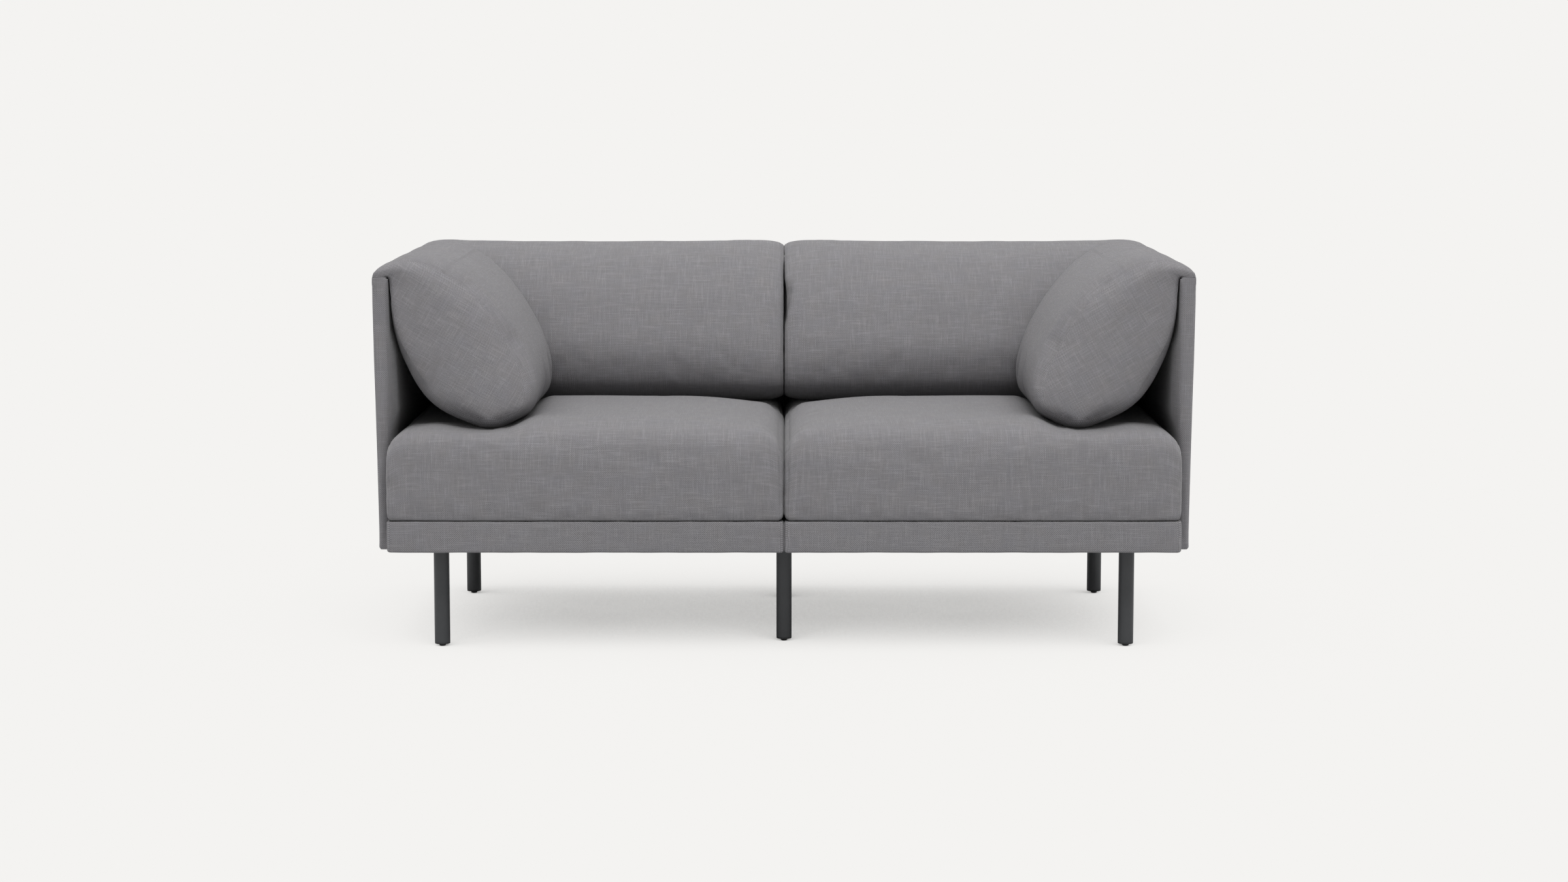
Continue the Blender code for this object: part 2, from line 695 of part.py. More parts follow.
def bracket_cuts(face, outward, at, across):
    """The slot in a board and the notch in its cover for one bracket.
    face is the cover's inner face, outward the way to its outer face, at the bracket's middle."""
    depth = PANEL_PADDING + CLEARANCE
    half = BRACKET_WIDTH / 2 + CLEARANCE
    slot_far = face + outward * (depth + BRACKET_THICKNESS + 2 * CLEARANCE)
    top = FOOT_BOTTOM + BRACKET_UPRIGHT + CLEARANCE

    def corners(start, end, low, high):
        near, far = min(start, end), max(start, end)
        if across == "y":
            return (near, at - half, low), (far, at + half, high)
        return (at - half, near, low), (at + half, far, high)

    slot = corners(face + outward * (depth - OVERRUN / 2), slot_far, PANEL_BOTTOM - OVERRUN, top)
    notch_end = face + outward * (depth + OVERRUN / 2)
    notch = corners(face - outward * OVERRUN, notch_end, PANEL_BOTTOM - OVERRUN, BASE_UNDERSIDE)
    return (*slot, *notch)


def arm_side(label, side):
    face = side * ARM_INNER_X
    places = {"front": ARM_FRONT_Y + BRACKET_INSET / 2, "rear": BASE_REAR_Y - BRACKET_INSET}
    cuts = [bracket_cuts(face, side, at, "y") for at in places.values()]
    xs = sorted((side * ARM_INNER_X, side * ARM_OUTER_X))
    panel(f"arm_{label}", (xs[0], ARM_FRONT_Y, PANEL_BOTTOM), (xs[1], BASE_REAR_Y, PANEL_TOP), cuts)
    strip_face = face + side * (PANEL_PADDING + 2 * CLEARANCE + BRACKET_THICKNESS)
    for word, at in places.items():
        bracket(f"arm_bracket_{word}_{label}", (strip_face, at, FOOT_BOTTOM), (-side, 0.0), (0.0, 1.0))
    arm_cushion(f"arm_cushion_{label}", side)


def back_side(label, side):
    places = {"inner": BASE_INNER_X + BRACKET_INSET, "outer": BASE_OUTER_X - BRACKET_INSET}
    cuts = [bracket_cuts(BACK_INNER_Y, 1, side * at, "x") for at in places.values()]
    xs = sorted((side * BASE_INNER_X, side * ARM_OUTER_X))
    panel(f"back_{label}", (xs[0], BACK_INNER_Y, PANEL_BOTTOM), (xs[1], BACK_OUTER_Y, PANEL_TOP), cuts)
    strip_face = BACK_INNER_Y + PANEL_PADDING + 2 * CLEARANCE + BRACKET_THICKNESS
    for word, at in places.items():
        bracket(f"back_bracket_{word}_{label}", (side * at, strip_face, FOOT_BOTTOM), (0.0, -1.0), (1.0, 0.0))
    back_cushion(f"back_cushion_{label}", side)


# Legs


def leg_places():
    """Name, x, y and plate width of each leg."""
    side_x = BASE_OUTER_X - LEG_INSET
    front_y, rear_y = BASE_FRONT_Y + LEG_INSET, BASE_REAR_Y - LEG_INSET
    middle_front, middle_rear = BASE_FRONT_Y + CENTRE_LEG_INSET, BASE_REAR_Y - CENTRE_LEG_INSET
    return [
        ("front_left", -side_x, front_y, LEG_PLATE),
        ("front_centre", 0.0, middle_front, CENTRE_LEG_PLATE),
        ("front_right", side_x, front_y, LEG_PLATE),
        ("rear_left", -side_x, rear_y, LEG_PLATE),
        ("rear_centre", 0.0, middle_rear, CENTRE_LEG_PLATE),
        ("rear_right", side_x, rear_y, LEG_PLATE),
    ]


def leg(name, x, y, plate_width):
    """A round steel tube welded under a flat plate with four screw holes."""
    half_x, half_y = plate_width / 2, LEG_PLATE / 2
    underside = LEG_TOP - LEG_PLATE_THICKNESS
    made = box(name, (x - half_x, y - half_y, underside), (x + half_x, y + half_y, LEG_TOP), STEEL)
    radius = LEG_DIAMETER / 2
    tube = cylinder(
        f"{name}_tube", (x, y), radius, LEG_BOTTOM, LEG_TOP - LEG_PLATE_THICKNESS / 2, None, ROUND_STEPS
    )
    join(made, tube)
    bore_low, bore_high = LEG_BOTTOM - OVERRUN, underside - LEG_WALL
    bore = cylinder(f"{name}_bore", (x, y), radius - LEG_WALL, bore_low, bore_high, None, ROUND_STEPS)
    cut(made, make_cutter(bore))
    cut(made, make_cutter(screw_hole_cutter(f"{name}_holes", x, y, half_x, half_y)))
    return made


def screw_hole_cutter(name, x, y, half_x, half_y):
    """Four round cutters, one near each corner of a leg's plate."""
    shape = bmesh.new()
    radius = SCREW_HOLE_DIAMETER / 2
    for way_x in (-1, 1):
        for way_y in (-1, 1):
            made = bmesh.ops.create_cone(
                shape,
                cap_ends=True,
                segments=SMALL_ROUND_STEPS // 2,
                radius1=radius,
                radius2=radius,
                depth=LEG_PLATE_THICKNESS + 2 * OVERRUN,
            )
            place = (
                way_x * (half_x - SCREW_HOLE_EDGE),
                way_y * (half_y - SCREW_HOLE_EDGE),
                0.0,
            )
            bmesh.ops.translate(shape, vec=place, verts=made["verts"])
    mesh = bpy.data.meshes.new(name)
    shape.to_mesh(mesh)
    shape.free()
    return add_object(name, mesh, None, (x, y, LEG_TOP - LEG_PLATE_THICKNESS / 2))


def end_plug(name, x, y):
    """Nylon plug pushed into the tube, with a hole for the glide's stem."""
    body = LEG_DIAMETER / 2 - LEG_WALL - CLEARANCE
    hole = GLIDE_STEM_DIAMETER / 2 + CLEARANCE
    flange = LEG_DIAMETER / 2
    flange_top = PLUG_BOTTOM + PLUG_FLANGE
    top = PLUG_BOTTOM + PLUG_LENGTH
    profile = [
        (body, top),
        (body, flange_top),
        (flange, flange_top),
        (flange, PLUG_BOTTOM),
        (hole, PLUG_BOTTOM),
        (hole, top),
    ]
    edges = [(i, (i + 1) % len(profile)) for i in range(len(profile))]
    return turned(name, profile, edges, (x, y), NYLON, ROUND_STEPS)


def glide(name, x, y):
    """A round-edged foot on a stem that screws up and down in the plug."""
    stem, pad, flat = GLIDE_STEM_DIAMETER / 2, GLIDE_PAD_DIAMETER / 2, GLIDE_FLAT_DIAMETER / 2
    edge = pad - flat
    profile = [(0.0, GLIDE_STEM_LENGTH), (stem, GLIDE_STEM_LENGTH), (stem, GLIDE_PAD_HEIGHT)]
    profile += [(pad, GLIDE_PAD_HEIGHT)]
    for turn in quarter_turn():
        profile.append((flat + edge * cos(turn), edge * (1 - sin(turn))))
    profile.append((0.0, 0.0))
    edges = [(i, i + 1) for i in range(len(profile) - 1)]
    return turned(name, profile, edges, (x, y), NYLON, SMALL_ROUND_STEPS)


def build():
    for label, side in SIDES.items():
        base_cover(f"base_cover_{label}", side)
        base_frame(label, side)
        webbing(f"seat_webbing_{label}", side)
        dust_cover(f"dust_cover_{label}", side)
        seat_cushion(f"seat_cushion_{label}", side)
        arm_side(label, side)
        back_side(label, side)
    for label, x, y, plate_width in leg_places():
        leg(f"leg_{label}", x, y, plate_width)
        end_plug(f"end_plug_{label}", x, y)
        glide(f"glide_{label}", x, y)


build()
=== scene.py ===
# Two-seater sofa: two joined seat bases with loose seat cushions, upright padded panels, arm and back
# cushions hung over the panels by a flap, and six round steel legs.
# Metres. X runs to the right, Y from the front to the back, Z up from the floor.
from math import cos, pi, radians, sin

import bmesh
import bpy
import numpy as np
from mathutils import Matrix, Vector


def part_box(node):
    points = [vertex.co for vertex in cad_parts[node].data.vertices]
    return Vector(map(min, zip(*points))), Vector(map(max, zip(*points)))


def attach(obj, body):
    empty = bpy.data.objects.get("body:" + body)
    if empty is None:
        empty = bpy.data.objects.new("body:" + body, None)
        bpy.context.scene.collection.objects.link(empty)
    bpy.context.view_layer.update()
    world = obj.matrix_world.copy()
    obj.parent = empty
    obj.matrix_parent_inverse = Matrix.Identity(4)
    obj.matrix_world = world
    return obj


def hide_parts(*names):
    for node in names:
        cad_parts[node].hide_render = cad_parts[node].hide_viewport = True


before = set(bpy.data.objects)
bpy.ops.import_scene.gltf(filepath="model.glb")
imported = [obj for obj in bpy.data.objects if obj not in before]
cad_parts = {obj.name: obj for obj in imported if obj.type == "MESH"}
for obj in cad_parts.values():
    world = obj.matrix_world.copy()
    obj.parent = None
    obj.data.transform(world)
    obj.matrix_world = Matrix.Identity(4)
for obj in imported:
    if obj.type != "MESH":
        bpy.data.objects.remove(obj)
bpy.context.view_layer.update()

sides = {"left": -1, "right": 1}
spots = ["front_left", "front_centre", "front_right", "rear_left", "rear_centre", "rear_right"]
fineTouch = 0.0003      # the gap that the frame keeps between pieces that touch


# Shaping helpers

def ease(value):        # rises smoothly from 0 to 1: 3t^2 - 2t^3
    t = np.clip(value, 0.0, 1.0)
    return t * t * (3 - 2 * t)


def quarterDrop(distance, radius):      # how far a rounded edge falls inside the square one, near its end
    t = 1 - np.clip(distance / radius, 0.0, 1.0)
    return radius * (1 - np.sqrt(1 - t * t))


def spaced(low, high, step, closeAt=(), closeStep=0.0012, closeReach=0.006):
    # Even places from low to high, with closer ones round each place that needs detail
    places = np.linspace(low, high, max(2, int(round((high - low) / step)) + 1))
    for centre in closeAt:
        near = np.arange(centre - closeReach, centre + closeReach + closeStep / 2, closeStep)
        near = near[(near > low) & (near < high)]
        far = np.abs(places - centre) > closeReach + closeStep / 2
        far[0] = far[-1] = True
        places = np.unique(np.concatenate([places[far], near]).round(6))
    return places


def smoothThrough(knots, values, at):
    # A cubic through the values: each span blends its two ends and their slopes
    slopes = np.gradient(values, knots, axis=0)
    i = np.clip(np.searchsorted(knots, at, side="right") - 1, 0, len(knots) - 2)
    span = (knots[i + 1] - knots[i])[:, None]
    t = (np.asarray(at) - knots[i])[:, None] / span
    a, b = values[i], values[i + 1]
    return ((2 * t**3 - 3 * t**2 + 1) * a + (t**3 - 2 * t**2 + t) * span * slopes[i]
            + (3 * t**2 - 2 * t**3) * b + (t**3 - t**2) * span * slopes[i + 1])


def shellGrid(across, up, along):
    # The grid points on the six sides of a block, and the quads of each side, facing outwards
    solid = np.zeros((len(across), len(up), len(along)), bool)
    solid[[0, -1]] = solid[:, [0, -1]] = solid[:, :, [0, -1]] = True
    ids = np.cumsum(solid).reshape(solid.shape) - 1
    i, j, k = np.nonzero(solid)
    quads = {}
    for axis in range(3):
        for end in (0, 1):
            sheet = ids.take(-end, axis=axis)
            faces = np.stack([sheet[:-1, :-1], sheet[1:, :-1], sheet[1:, 1:], sheet[:-1, 1:]], -1).reshape(-1, 4)
            quads[axis, end] = faces[:, ::-1] if (axis == 1) == bool(end) else faces
    return np.stack([across[i], up[j], along[k]], 1), quads, ids


def outwards(points, quads):    # turns every quad round if the closed shape's signed volume is below zero
    a, b, c, d = (points[quads[:, n]] for n in range(4))
    volume = np.einsum("ij,ij->", a, np.cross(b, c)) + np.einsum("ij,ij->", a, np.cross(c, d))
    return quads if volume > 0 else quads[:, ::-1]


def normalsOf(points, quads):   # at each point, the sum of its quads' diagonals crossed, made one long
    facing = np.cross(points[quads[:, 2]] - points[quads[:, 0]], points[quads[:, 3]] - points[quads[:, 1]])
    total = np.zeros_like(points)
    for n in range(4):
        np.add.at(total, quads[:, n], facing)
    return total / np.maximum(np.linalg.norm(total, axis=1, keepdims=True), 1e-12)


def arcLength(points):          # distance walked along a row of points
    return np.concatenate([[0.0], np.cumsum(np.linalg.norm(np.diff(points, axis=0), axis=1))])


def ripple(u, v, waves, seed):
    # A soft unevenness: the sum of a few long waves that cross at set angles
    chance = np.random.default_rng(seed)
    total = np.zeros_like(u)
    for size in waves:
        turn, start = chance.uniform(0, pi), chance.uniform(0, 2 * pi)
        total += np.sin(2 * pi * (u * cos(turn) + v * sin(turn)) / size + start)
    return total / len(waves)


def putMesh(name, points, faces, uv=None, smooth=True):
    mesh = bpy.data.meshes.new(name)
    if isinstance(faces, np.ndarray):
        mesh.vertices.add(len(points))
        mesh.vertices.foreach_set("co", np.asarray(points, np.float32).ravel())
        mesh.loops.add(faces.size)
        mesh.loops.foreach_set("vertex_index", faces.ravel().astype(np.int32))
        mesh.polygons.add(len(faces))
        mesh.polygons.foreach_set("loop_start", np.arange(0, faces.size, faces.shape[1], dtype=np.int32))
    else:
        mesh.from_pydata(np.asarray(points).tolist(), [], faces)
    mesh.update(calc_edges=True)
    mesh.polygons.foreach_set("use_smooth", np.full(len(mesh.polygons), smooth))
    if uv is not None:
        mesh.uv_layers.new(name="cloth").uv.foreach_set("vector", np.asarray(uv, np.float32).ravel())
    mesh.validate()
    return mesh


def placed(name, data):         # a new object in the scene
    made = bpy.data.objects.new(name, data)
    bpy.context.scene.collection.objects.link(made)
    return made


def addPiece(name, body, material, shape, nodes=(), smooth=True):
    # The shape is its points, its faces and, for cloth, where each corner lies in the weave
    piece = placed(name, putMesh(name, *shape, smooth=smooth))
    piece.data.materials.append(material)
    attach(piece, body)
    if nodes:
        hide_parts(*nodes)
    return piece


def middleOf(low, high):
    return (low[0] + high[0]) / 2, (low[1] + high[1]) / 2


def joined(parts):              # several (points, faces) into one, faces as plain lists
    points, faces, count = [], [], 0
    for some, more in parts:
        points.append(np.asarray(some, float))
        faces += [[index + count for index in face] for face in more]
        count += len(some)
    return np.concatenate(points), faces


def ringQuads(rings, around, closed):   # between neighbouring rings, and from the last to the first if closed
    here = np.arange(rings * around).reshape(rings, around)
    there = np.roll(here, -1, 0)
    if not closed:
        here, there = here[:-1], there[:-1]
    return np.stack([here, there, np.roll(there, -1, 1), np.roll(here, -1, 1)], -1).reshape(-1, 4)


def turned(profile, centre, steps, closed=False):
    # A (radius, height) profile turned about a standing line. An open one starts and ends on that line.
    profile = np.asarray(profile, float)
    angle = np.arange(steps) * 2 * pi / steps
    rows = profile if closed else profile[1:-1]
    points = np.stack([rows[:, :1] * np.cos(angle), rows[:, :1] * np.sin(angle),
                       np.repeat(rows[:, 1:], steps, 1)], -1).reshape(-1, 3)
    quads = ringQuads(len(rows), steps, closed).tolist()
    if not closed:
        top, bottom = len(points), len(points) + 1
        points = np.vstack([points, [0, 0, profile[0, 1]], [0, 0, profile[-1, 1]]])
        first, last = np.arange(steps), np.arange(steps) + (len(rows) - 1) * steps
        quads += np.stack([np.full(steps, top), first, np.roll(first, -1)], 1).tolist()
        quads += np.stack([np.full(steps, bottom), np.roll(last, -1), last], 1).tolist()
    return points + np.array([centre[0], centre[1], 0.0]), quads


def swept(ring, path, outward):
    # A closed (out, up) ring carried round a closed level path: each place steps out along its own outward way
    level = path[:, None, :] + ring[None, :, :1] * outward[:, None, :]
    height = np.repeat(ring[None, :, 1:], len(path), 0)
    points = np.concatenate([level, height], -1).reshape(-1, 3)
    return points, outwards(points, ringQuads(len(path), len(ring), True))


def roundedPath(low, high, radius, step):
    # A level rectangle with round corners, walked once: the places and their outward ways
    corners = np.array([[high[0], high[1]], [low[0], high[1]], [low[0], low[1]], [high[0], low[1]]])
    middles = corners - radius * np.sign(corners - corners.mean(0))
    places, ways = [], []
    for n, middle in enumerate(middles):
        turn = np.radians(90 * n + np.linspace(0, 90, 9))
        way = np.stack([np.cos(turn), np.sin(turn)], 1)
        arc = middle + radius * way
        far = middles[(n + 1) % 4] + radius * way[-1]
        count = int(np.linalg.norm(far - arc[-1]) / step)
        share = (np.arange(1, count) / count)[:, None]
        places += [arc, arc[-1] + (far - arc[-1]) * share]
        ways += [way, np.repeat(way[-1:], count - 1, 0)]
    return np.concatenate(places), np.concatenate(ways)


# Finishes

def node(tree, kind, settings=None, **inputs):
    # One node: settings are its own values, inputs are numbers or the sockets that feed it, named or in0, in1
    made = tree.nodes.new(kind)
    for key, value in (settings or {}).items():
        setattr(made, key, value)
    for key, value in inputs.items():
        socket = made.inputs[int(key[2:]) if key[:2] == "in" and key[2:].isdigit() else key]
        if isinstance(value, bpy.types.NodeSocket):
            tree.links.new(value, socket)
        else:
            socket.default_value = value
    return made


def sums(tree, operation, *values, clamp=False):
    inputs = {f"in{n}": value for n, value in enumerate(values)}
    return node(tree, "ShaderNodeMath", {"operation": operation, "use_clamp": clamp}, **inputs).outputs[0]


def onVector(tree, operation, first, **others):
    return node(tree, "ShaderNodeVectorMath", {"operation": operation}, in0=first, **others).outputs[0]


def noise(tree, vector, scale, detail=2.0, roughness=0.5):
    made = node(tree, "ShaderNodeTexNoise", None, Vector=vector, Scale=scale, Detail=detail, Roughness=roughness)
    return made.outputs["Fac"]


def mixColours(tree, share, first, second, blend="MIX"):
    made = node(tree, "ShaderNodeMix", {"data_type": "RGBA", "blend_type": blend}, in0=share, in6=first, in7=second)
    return made.outputs[2]


weaveLook = {
    "driftScale": 45.0, "drift": 0.0024,                    # how often and how far the threads wander
    "threadsApart": 3.71, "threadStretch": 0.04,            # how unlike neighbours are, how slowly one changes
    "toneSpread": 0.9, "toneShift": 0.02,
    "slubFrom": 0.56, "slubTo": 0.68, "slubTone": 0.22,     # where a thread is a slub, and how much lighter it is
    "speckTone": 0.25,
    "dip": 0.45,                                            # how much lower a thread lies away from its top
    "middle": 0.55,                                         # the height that leaves the colour as it is
    "clearScale": 38.0, "clearGain": 4.0, "clearShift": -1.4,
    "patchScale": 26.0, "patchGain": 2.0, "patchShift": -0.65,
}
vectorKind, numberKind, colourKind = "NodeSocketVector", "NodeSocketFloat", "NodeSocketColor"


def newGroup(name, inputs, outputs):
    group = bpy.data.node_groups.new(name, "ShaderNodeTree")
    for label, kind in inputs.items():
        group.interface.new_socket(label, in_out="INPUT", socket_type=kind)
    for label, kind in outputs.items():
        group.interface.new_socket(label, in_out="OUTPUT", socket_type=kind)
    return group, group.nodes.new("NodeGroupInput").outputs, group.nodes.new("NodeGroupOutput").inputs


def wovenClothGroup():
    # A plain weave. Whole thread numbers come from floor(place / pitch); the warp is on top where their sum is
    # odd, and is a little lighter than the weft, more so in patches. Each thread is round, sin(pi * fraction), and
    # has its own slow change of tone; where that is high it is a slub, a lighter line some centimetres long. The dips
    # between the threads are painted darker as shade. Where another surface lies near, Clear is under 1 and the
    # colour is scaled by 1 minus the shade depth times (1 - Clear) ** Fall: painted shade in the gaps and creases
    # between pieces.
    group, given, result = newGroup("wovenCloth", {
        "Vector": vectorKind, "Pitch": numberKind, "Slub": numberKind, "Relief": numberKind, "Cross": numberKind,
        "Dark": colourKind, "Light": colourKind, "Cast": colourKind, "Clear": numberKind, "Near": numberKind,
        "Fall": numberKind}, {"Color": colourKind, "Height": numberKind})
    look, place, half = weaveLook, given["Vector"], (0.5, 0.5, 0.5)
    drift = node(group, "ShaderNodeTexNoise", None, Vector=place, Scale=look["driftScale"], Detail=2.0).outputs[1]
    small = onVector(group, "SCALE", onVector(group, "SUBTRACT", drift, in1=half), Scale=look["drift"])
    moved = onVector(group, "ADD", place, in1=small)
    threads = onVector(group, "SCALE", moved, Scale=sums(group, "DIVIDE", 1.0, given["Pitch"]))
    apart = node(group, "ShaderNodeSeparateXYZ", None, Vector=threads).outputs
    warp, weft = sums(group, "FLOOR", apart[0]), sums(group, "FLOOR", apart[1])
    over = sums(group, "FLOORED_MODULO", sums(group, "ADD", warp, weft), 2.0)
    roundWarp, roundWeft = (sums(group, "SINE", sums(group, "MULTIPLY", sums(group, "FRACT", apart[n]), pi))
                            for n in (0, 1))
    tones = []
    for own, along, third in ((warp, apart[1], 0.0), (weft, apart[0], 9.0)):
        drawnOut = node(group, "ShaderNodeCombineXYZ", None, X=sums(group, "MULTIPLY", own, look["threadsApart"]),
                        Y=sums(group, "MULTIPLY", along, look["threadStretch"]), Z=third).outputs[0]
        slow = noise(group, drawnOut, 1.0, 1.0, 0.5)
        thick = node(group, "ShaderNodeMapRange", {"interpolation_type": "SMOOTHSTEP"}, Value=slow,
                     **{"From Min": look["slubFrom"], "From Max": look["slubTo"]}).outputs[0]
        thin = sums(group, "MULTIPLY_ADD", slow, look["toneSpread"], look["toneShift"])
        tones.append(sums(group, "MULTIPLY_ADD", thick, look["slubTone"], thin))
    crossing = node(group, "ShaderNodeCombineXYZ", None, X=warp, Y=weft, Z=0.0).outputs[0]
    speck = node(group, "ShaderNodeTexWhiteNoise", {"noise_dimensions": "3D"}, Vector=crossing).outputs["Value"]
    warpTop, weftTop = (sums(group, "MULTIPLY", one, sums(group, "MULTIPLY_ADD", two, look["dip"], 1 - look["dip"]))
                        for one, two in ((roundWarp, roundWeft), (roundWeft, roundWarp)))
    height = node(group, "ShaderNodeMix", None, in0=over, in2=weftTop, in3=warpTop).outputs[0]
    onTop = node(group, "ShaderNodeMix", None, in0=over, in2=tones[1], in3=tones[0]).outputs[0]
    both = sums(group, "SUBTRACT", sums(group, "ADD", tones[0], tones[1]), 1.0)
    tone = sums(group, "ADD", sums(group, "SUBTRACT", onTop, 0.5), sums(group, "MULTIPLY", both, 0.5))
    tone = sums(group, "MULTIPLY_ADD", sums(group, "SUBTRACT", speck, 0.5), look["speckTone"], tone)
    tone = sums(group, "MULTIPLY", tone, given["Slub"])
    clearer = sums(group, "MULTIPLY_ADD", noise(group, place, look["clearScale"]), look["clearGain"],
                   look["clearShift"], clamp=True)
    crossed = sums(group, "MULTIPLY", sums(group, "SUBTRACT", over, 0.5), given["Cross"])
    crossed = sums(group, "MULTIPLY", crossed, clearer)
    # The dips between the threads are painted darker: painted shade at the scale of the weave
    relief = sums(group, "MULTIPLY_ADD", sums(group, "SUBTRACT", height, look["middle"]), given["Relief"], crossed)
    share = sums(group, "ADD", sums(group, "ADD", tone, relief), 0.5, clamp=True)
    plain = mixColours(group, share, given["Dark"], given["Light"])
    patch = sums(group, "MULTIPLY_ADD", noise(group, place, look["patchScale"], 3.0), look["patchGain"],
                 look["patchShift"], clamp=True)
    colour = mixColours(group, patch, plain, mixColours(group, 1.0, plain, given["Cast"], "MULTIPLY"))
    # Painted shade: the colour darkens where another surface lies near, in the gaps and creases between pieces
    paintedShade = sums(group, "POWER", sums(group, "SUBTRACT", 1.0, given["Clear"]), given["Fall"])
    shaded = mixColours(group, sums(group, "MULTIPLY", paintedShade, given["Near"]), colour, (0, 0, 0, 1))
    group.links.new(shaded, result["Color"])
    group.links.new(height, result["Height"])
    return group


def fineGrainGroup():
    # Fine specks over slow patches, as on powder coat, moulded plastic and zinc
    group, given, result = newGroup("fineGrain", {
        "Vector": vectorKind, "Grain": numberKind, "Dark": colourKind, "Light": colourKind, "Roughness": numberKind,
        "Spread": numberKind}, {"Color": colourKind, "Roughness": numberKind, "Height": numberKind})
    specks = noise(group, given["Vector"], given["Grain"], 2.0, 0.6)
    patches = sums(group, "MULTIPLY_ADD", noise(group, given["Vector"], 14.0, 4.0, 0.6), 1.5, -0.45)
    both = sums(group, "MULTIPLY_ADD", specks, 0.45, patches, clamp=True)
    group.links.new(mixColours(group, both, given["Dark"], given["Light"]), result["Color"])
    uneven = sums(group, "MULTIPLY", sums(group, "SUBTRACT", both, 0.5), given["Spread"])
    group.links.new(sums(group, "ADD", given["Roughness"], uneven), result["Roughness"])
    group.links.new(specks, result["Height"])
    return group


def woodGrainGroup():
    # Growth lines: bands of stretched noise, with fine pores along them
    group, given, result = newGroup("woodGrain", {"Vector": vectorKind, "Dark": colourKind, "Light": colourKind},
                                    {"Color": colourKind, "Height": numberKind})
    bands = sums(group, "FRACT", sums(group, "MULTIPLY", noise(group, given["Vector"], 3.0, 3.0), 14.0))
    pores = sums(group, "MULTIPLY", noise(group, given["Vector"], 90.0, 4.0, 0.7), 0.5)
    both = sums(group, "ADD", sums(group, "MULTIPLY", bands, 0.55), pores, clamp=True)
    group.links.new(mixColours(group, both, given["Dark"], given["Light"]), result["Color"])
    group.links.new(both, result["Height"])
    return group


def newMaterial(name, **uniform):
    material = bpy.data.materials.new(name)
    material.use_nodes = True
    shader = material.node_tree.nodes["Principled BSDF"]
    for key, value in uniform.items():
        shader.inputs[key.replace("_", " ")].default_value = value
    return material, material.node_tree, shader


def useGroup(tree, group, **inputs):
    return node(tree, "ShaderNodeGroup", {"node_tree": group}, **inputs).outputs


def addBump(tree, shader, height, strength, distance):
    made = node(tree, "ShaderNodeBump", None, Strength=strength, Distance=distance, Height=height)
    tree.links.new(made.outputs["Normal"], shader.inputs["Normal"])


clothLook = {
    "pitch": 0.00205,               # thread to thread
    "slub": 0.47,                   # how much the threads differ in tone
    "dark": (0.150, 0.146, 0.155),
    "light": (0.285, 0.280, 0.294),
    "cast": (1.015, 1.0, 0.97, 1),  # the warmer patches
    "relief": 0.42,                 # how much darker the dips between the threads are painted, as painted shade
    "cross": 0.42,                  # how much lighter the warp is than the weft
    "sheen": 0.25,
    "bump": 0.6,
    "bumpDepth": 0.0006,
    "paintedShadeReach": 0.10,              # how near another surface has to be for the painted shade to darken the cloth, and by how much
    "paintedShadeDepth": 0.5,
    "paintedShadeFall": 1.5,
}


def clothMaterial(name, group, lift=1.0, relief=1.0, sheen=1.0):
    look = clothLook
    material, tree, shader = newMaterial(name, Roughness=0.9, Sheen_Weight=look["sheen"] * sheen,
                                         Sheen_Roughness=0.45, Specular_IOR_Level=0.25)
    place = node(tree, "ShaderNodeUVMap", {"uv_map": "cloth"}).outputs[0]
    # Ambient occlusion, which the weave group turns into painted shade
    clear = node(tree, "ShaderNodeAmbientOcclusion", {"samples": 8}, Distance=look["paintedShadeReach"]).outputs["AO"]
    dark, light = (tuple(c * lift for c in look[key]) + (1,) for key in ("dark", "light"))
    woven = useGroup(tree, group, Vector=place, Pitch=look["pitch"], Slub=look["slub"], Dark=dark, Light=light,
                     Relief=look["relief"] * relief, Cross=look["cross"] * relief, Cast=look["cast"], Clear=clear,
                     Near=look["paintedShadeDepth"], Fall=look["paintedShadeFall"])
    tree.links.new(woven["Color"], shader.inputs["Base Color"])
    addBump(tree, shader, woven["Height"], look["bump"], look["bumpDepth"])
    return material


def grainMaterial(name, group, dark, light, roughness, grain, bump, **uniform):
    material, tree, shader = newMaterial(name, **uniform)
    place = node(tree, "ShaderNodeTexCoord").outputs["Object"]
    found = useGroup(tree, group, Vector=place, Grain=grain, Dark=(*dark, 1), Light=(*light, 1), Roughness=roughness,
                     Spread=0.12)
    tree.links.new(found["Color"], shader.inputs["Base Color"])
    tree.links.new(found["Roughness"], shader.inputs["Roughness"])
    addBump(tree, shader, found["Height"], 0.35, bump)
    return material


def woodMaterial(name, group, stretch, dark, light):
    material, tree, shader = newMaterial(name, Roughness=0.62)
    place = node(tree, "ShaderNodeTexCoord").outputs["Object"]
    drawn = node(tree, "ShaderNodeMapping", None, Vector=place, Scale=stretch).outputs[0]
    grain = useGroup(tree, group, Vector=drawn, Dark=(*dark, 1), Light=(*light, 1))
    tree.links.new(grain["Color"], shader.inputs["Base Color"])
    addBump(tree, shader, grain["Height"], 0.25, 0.0004)
    return material


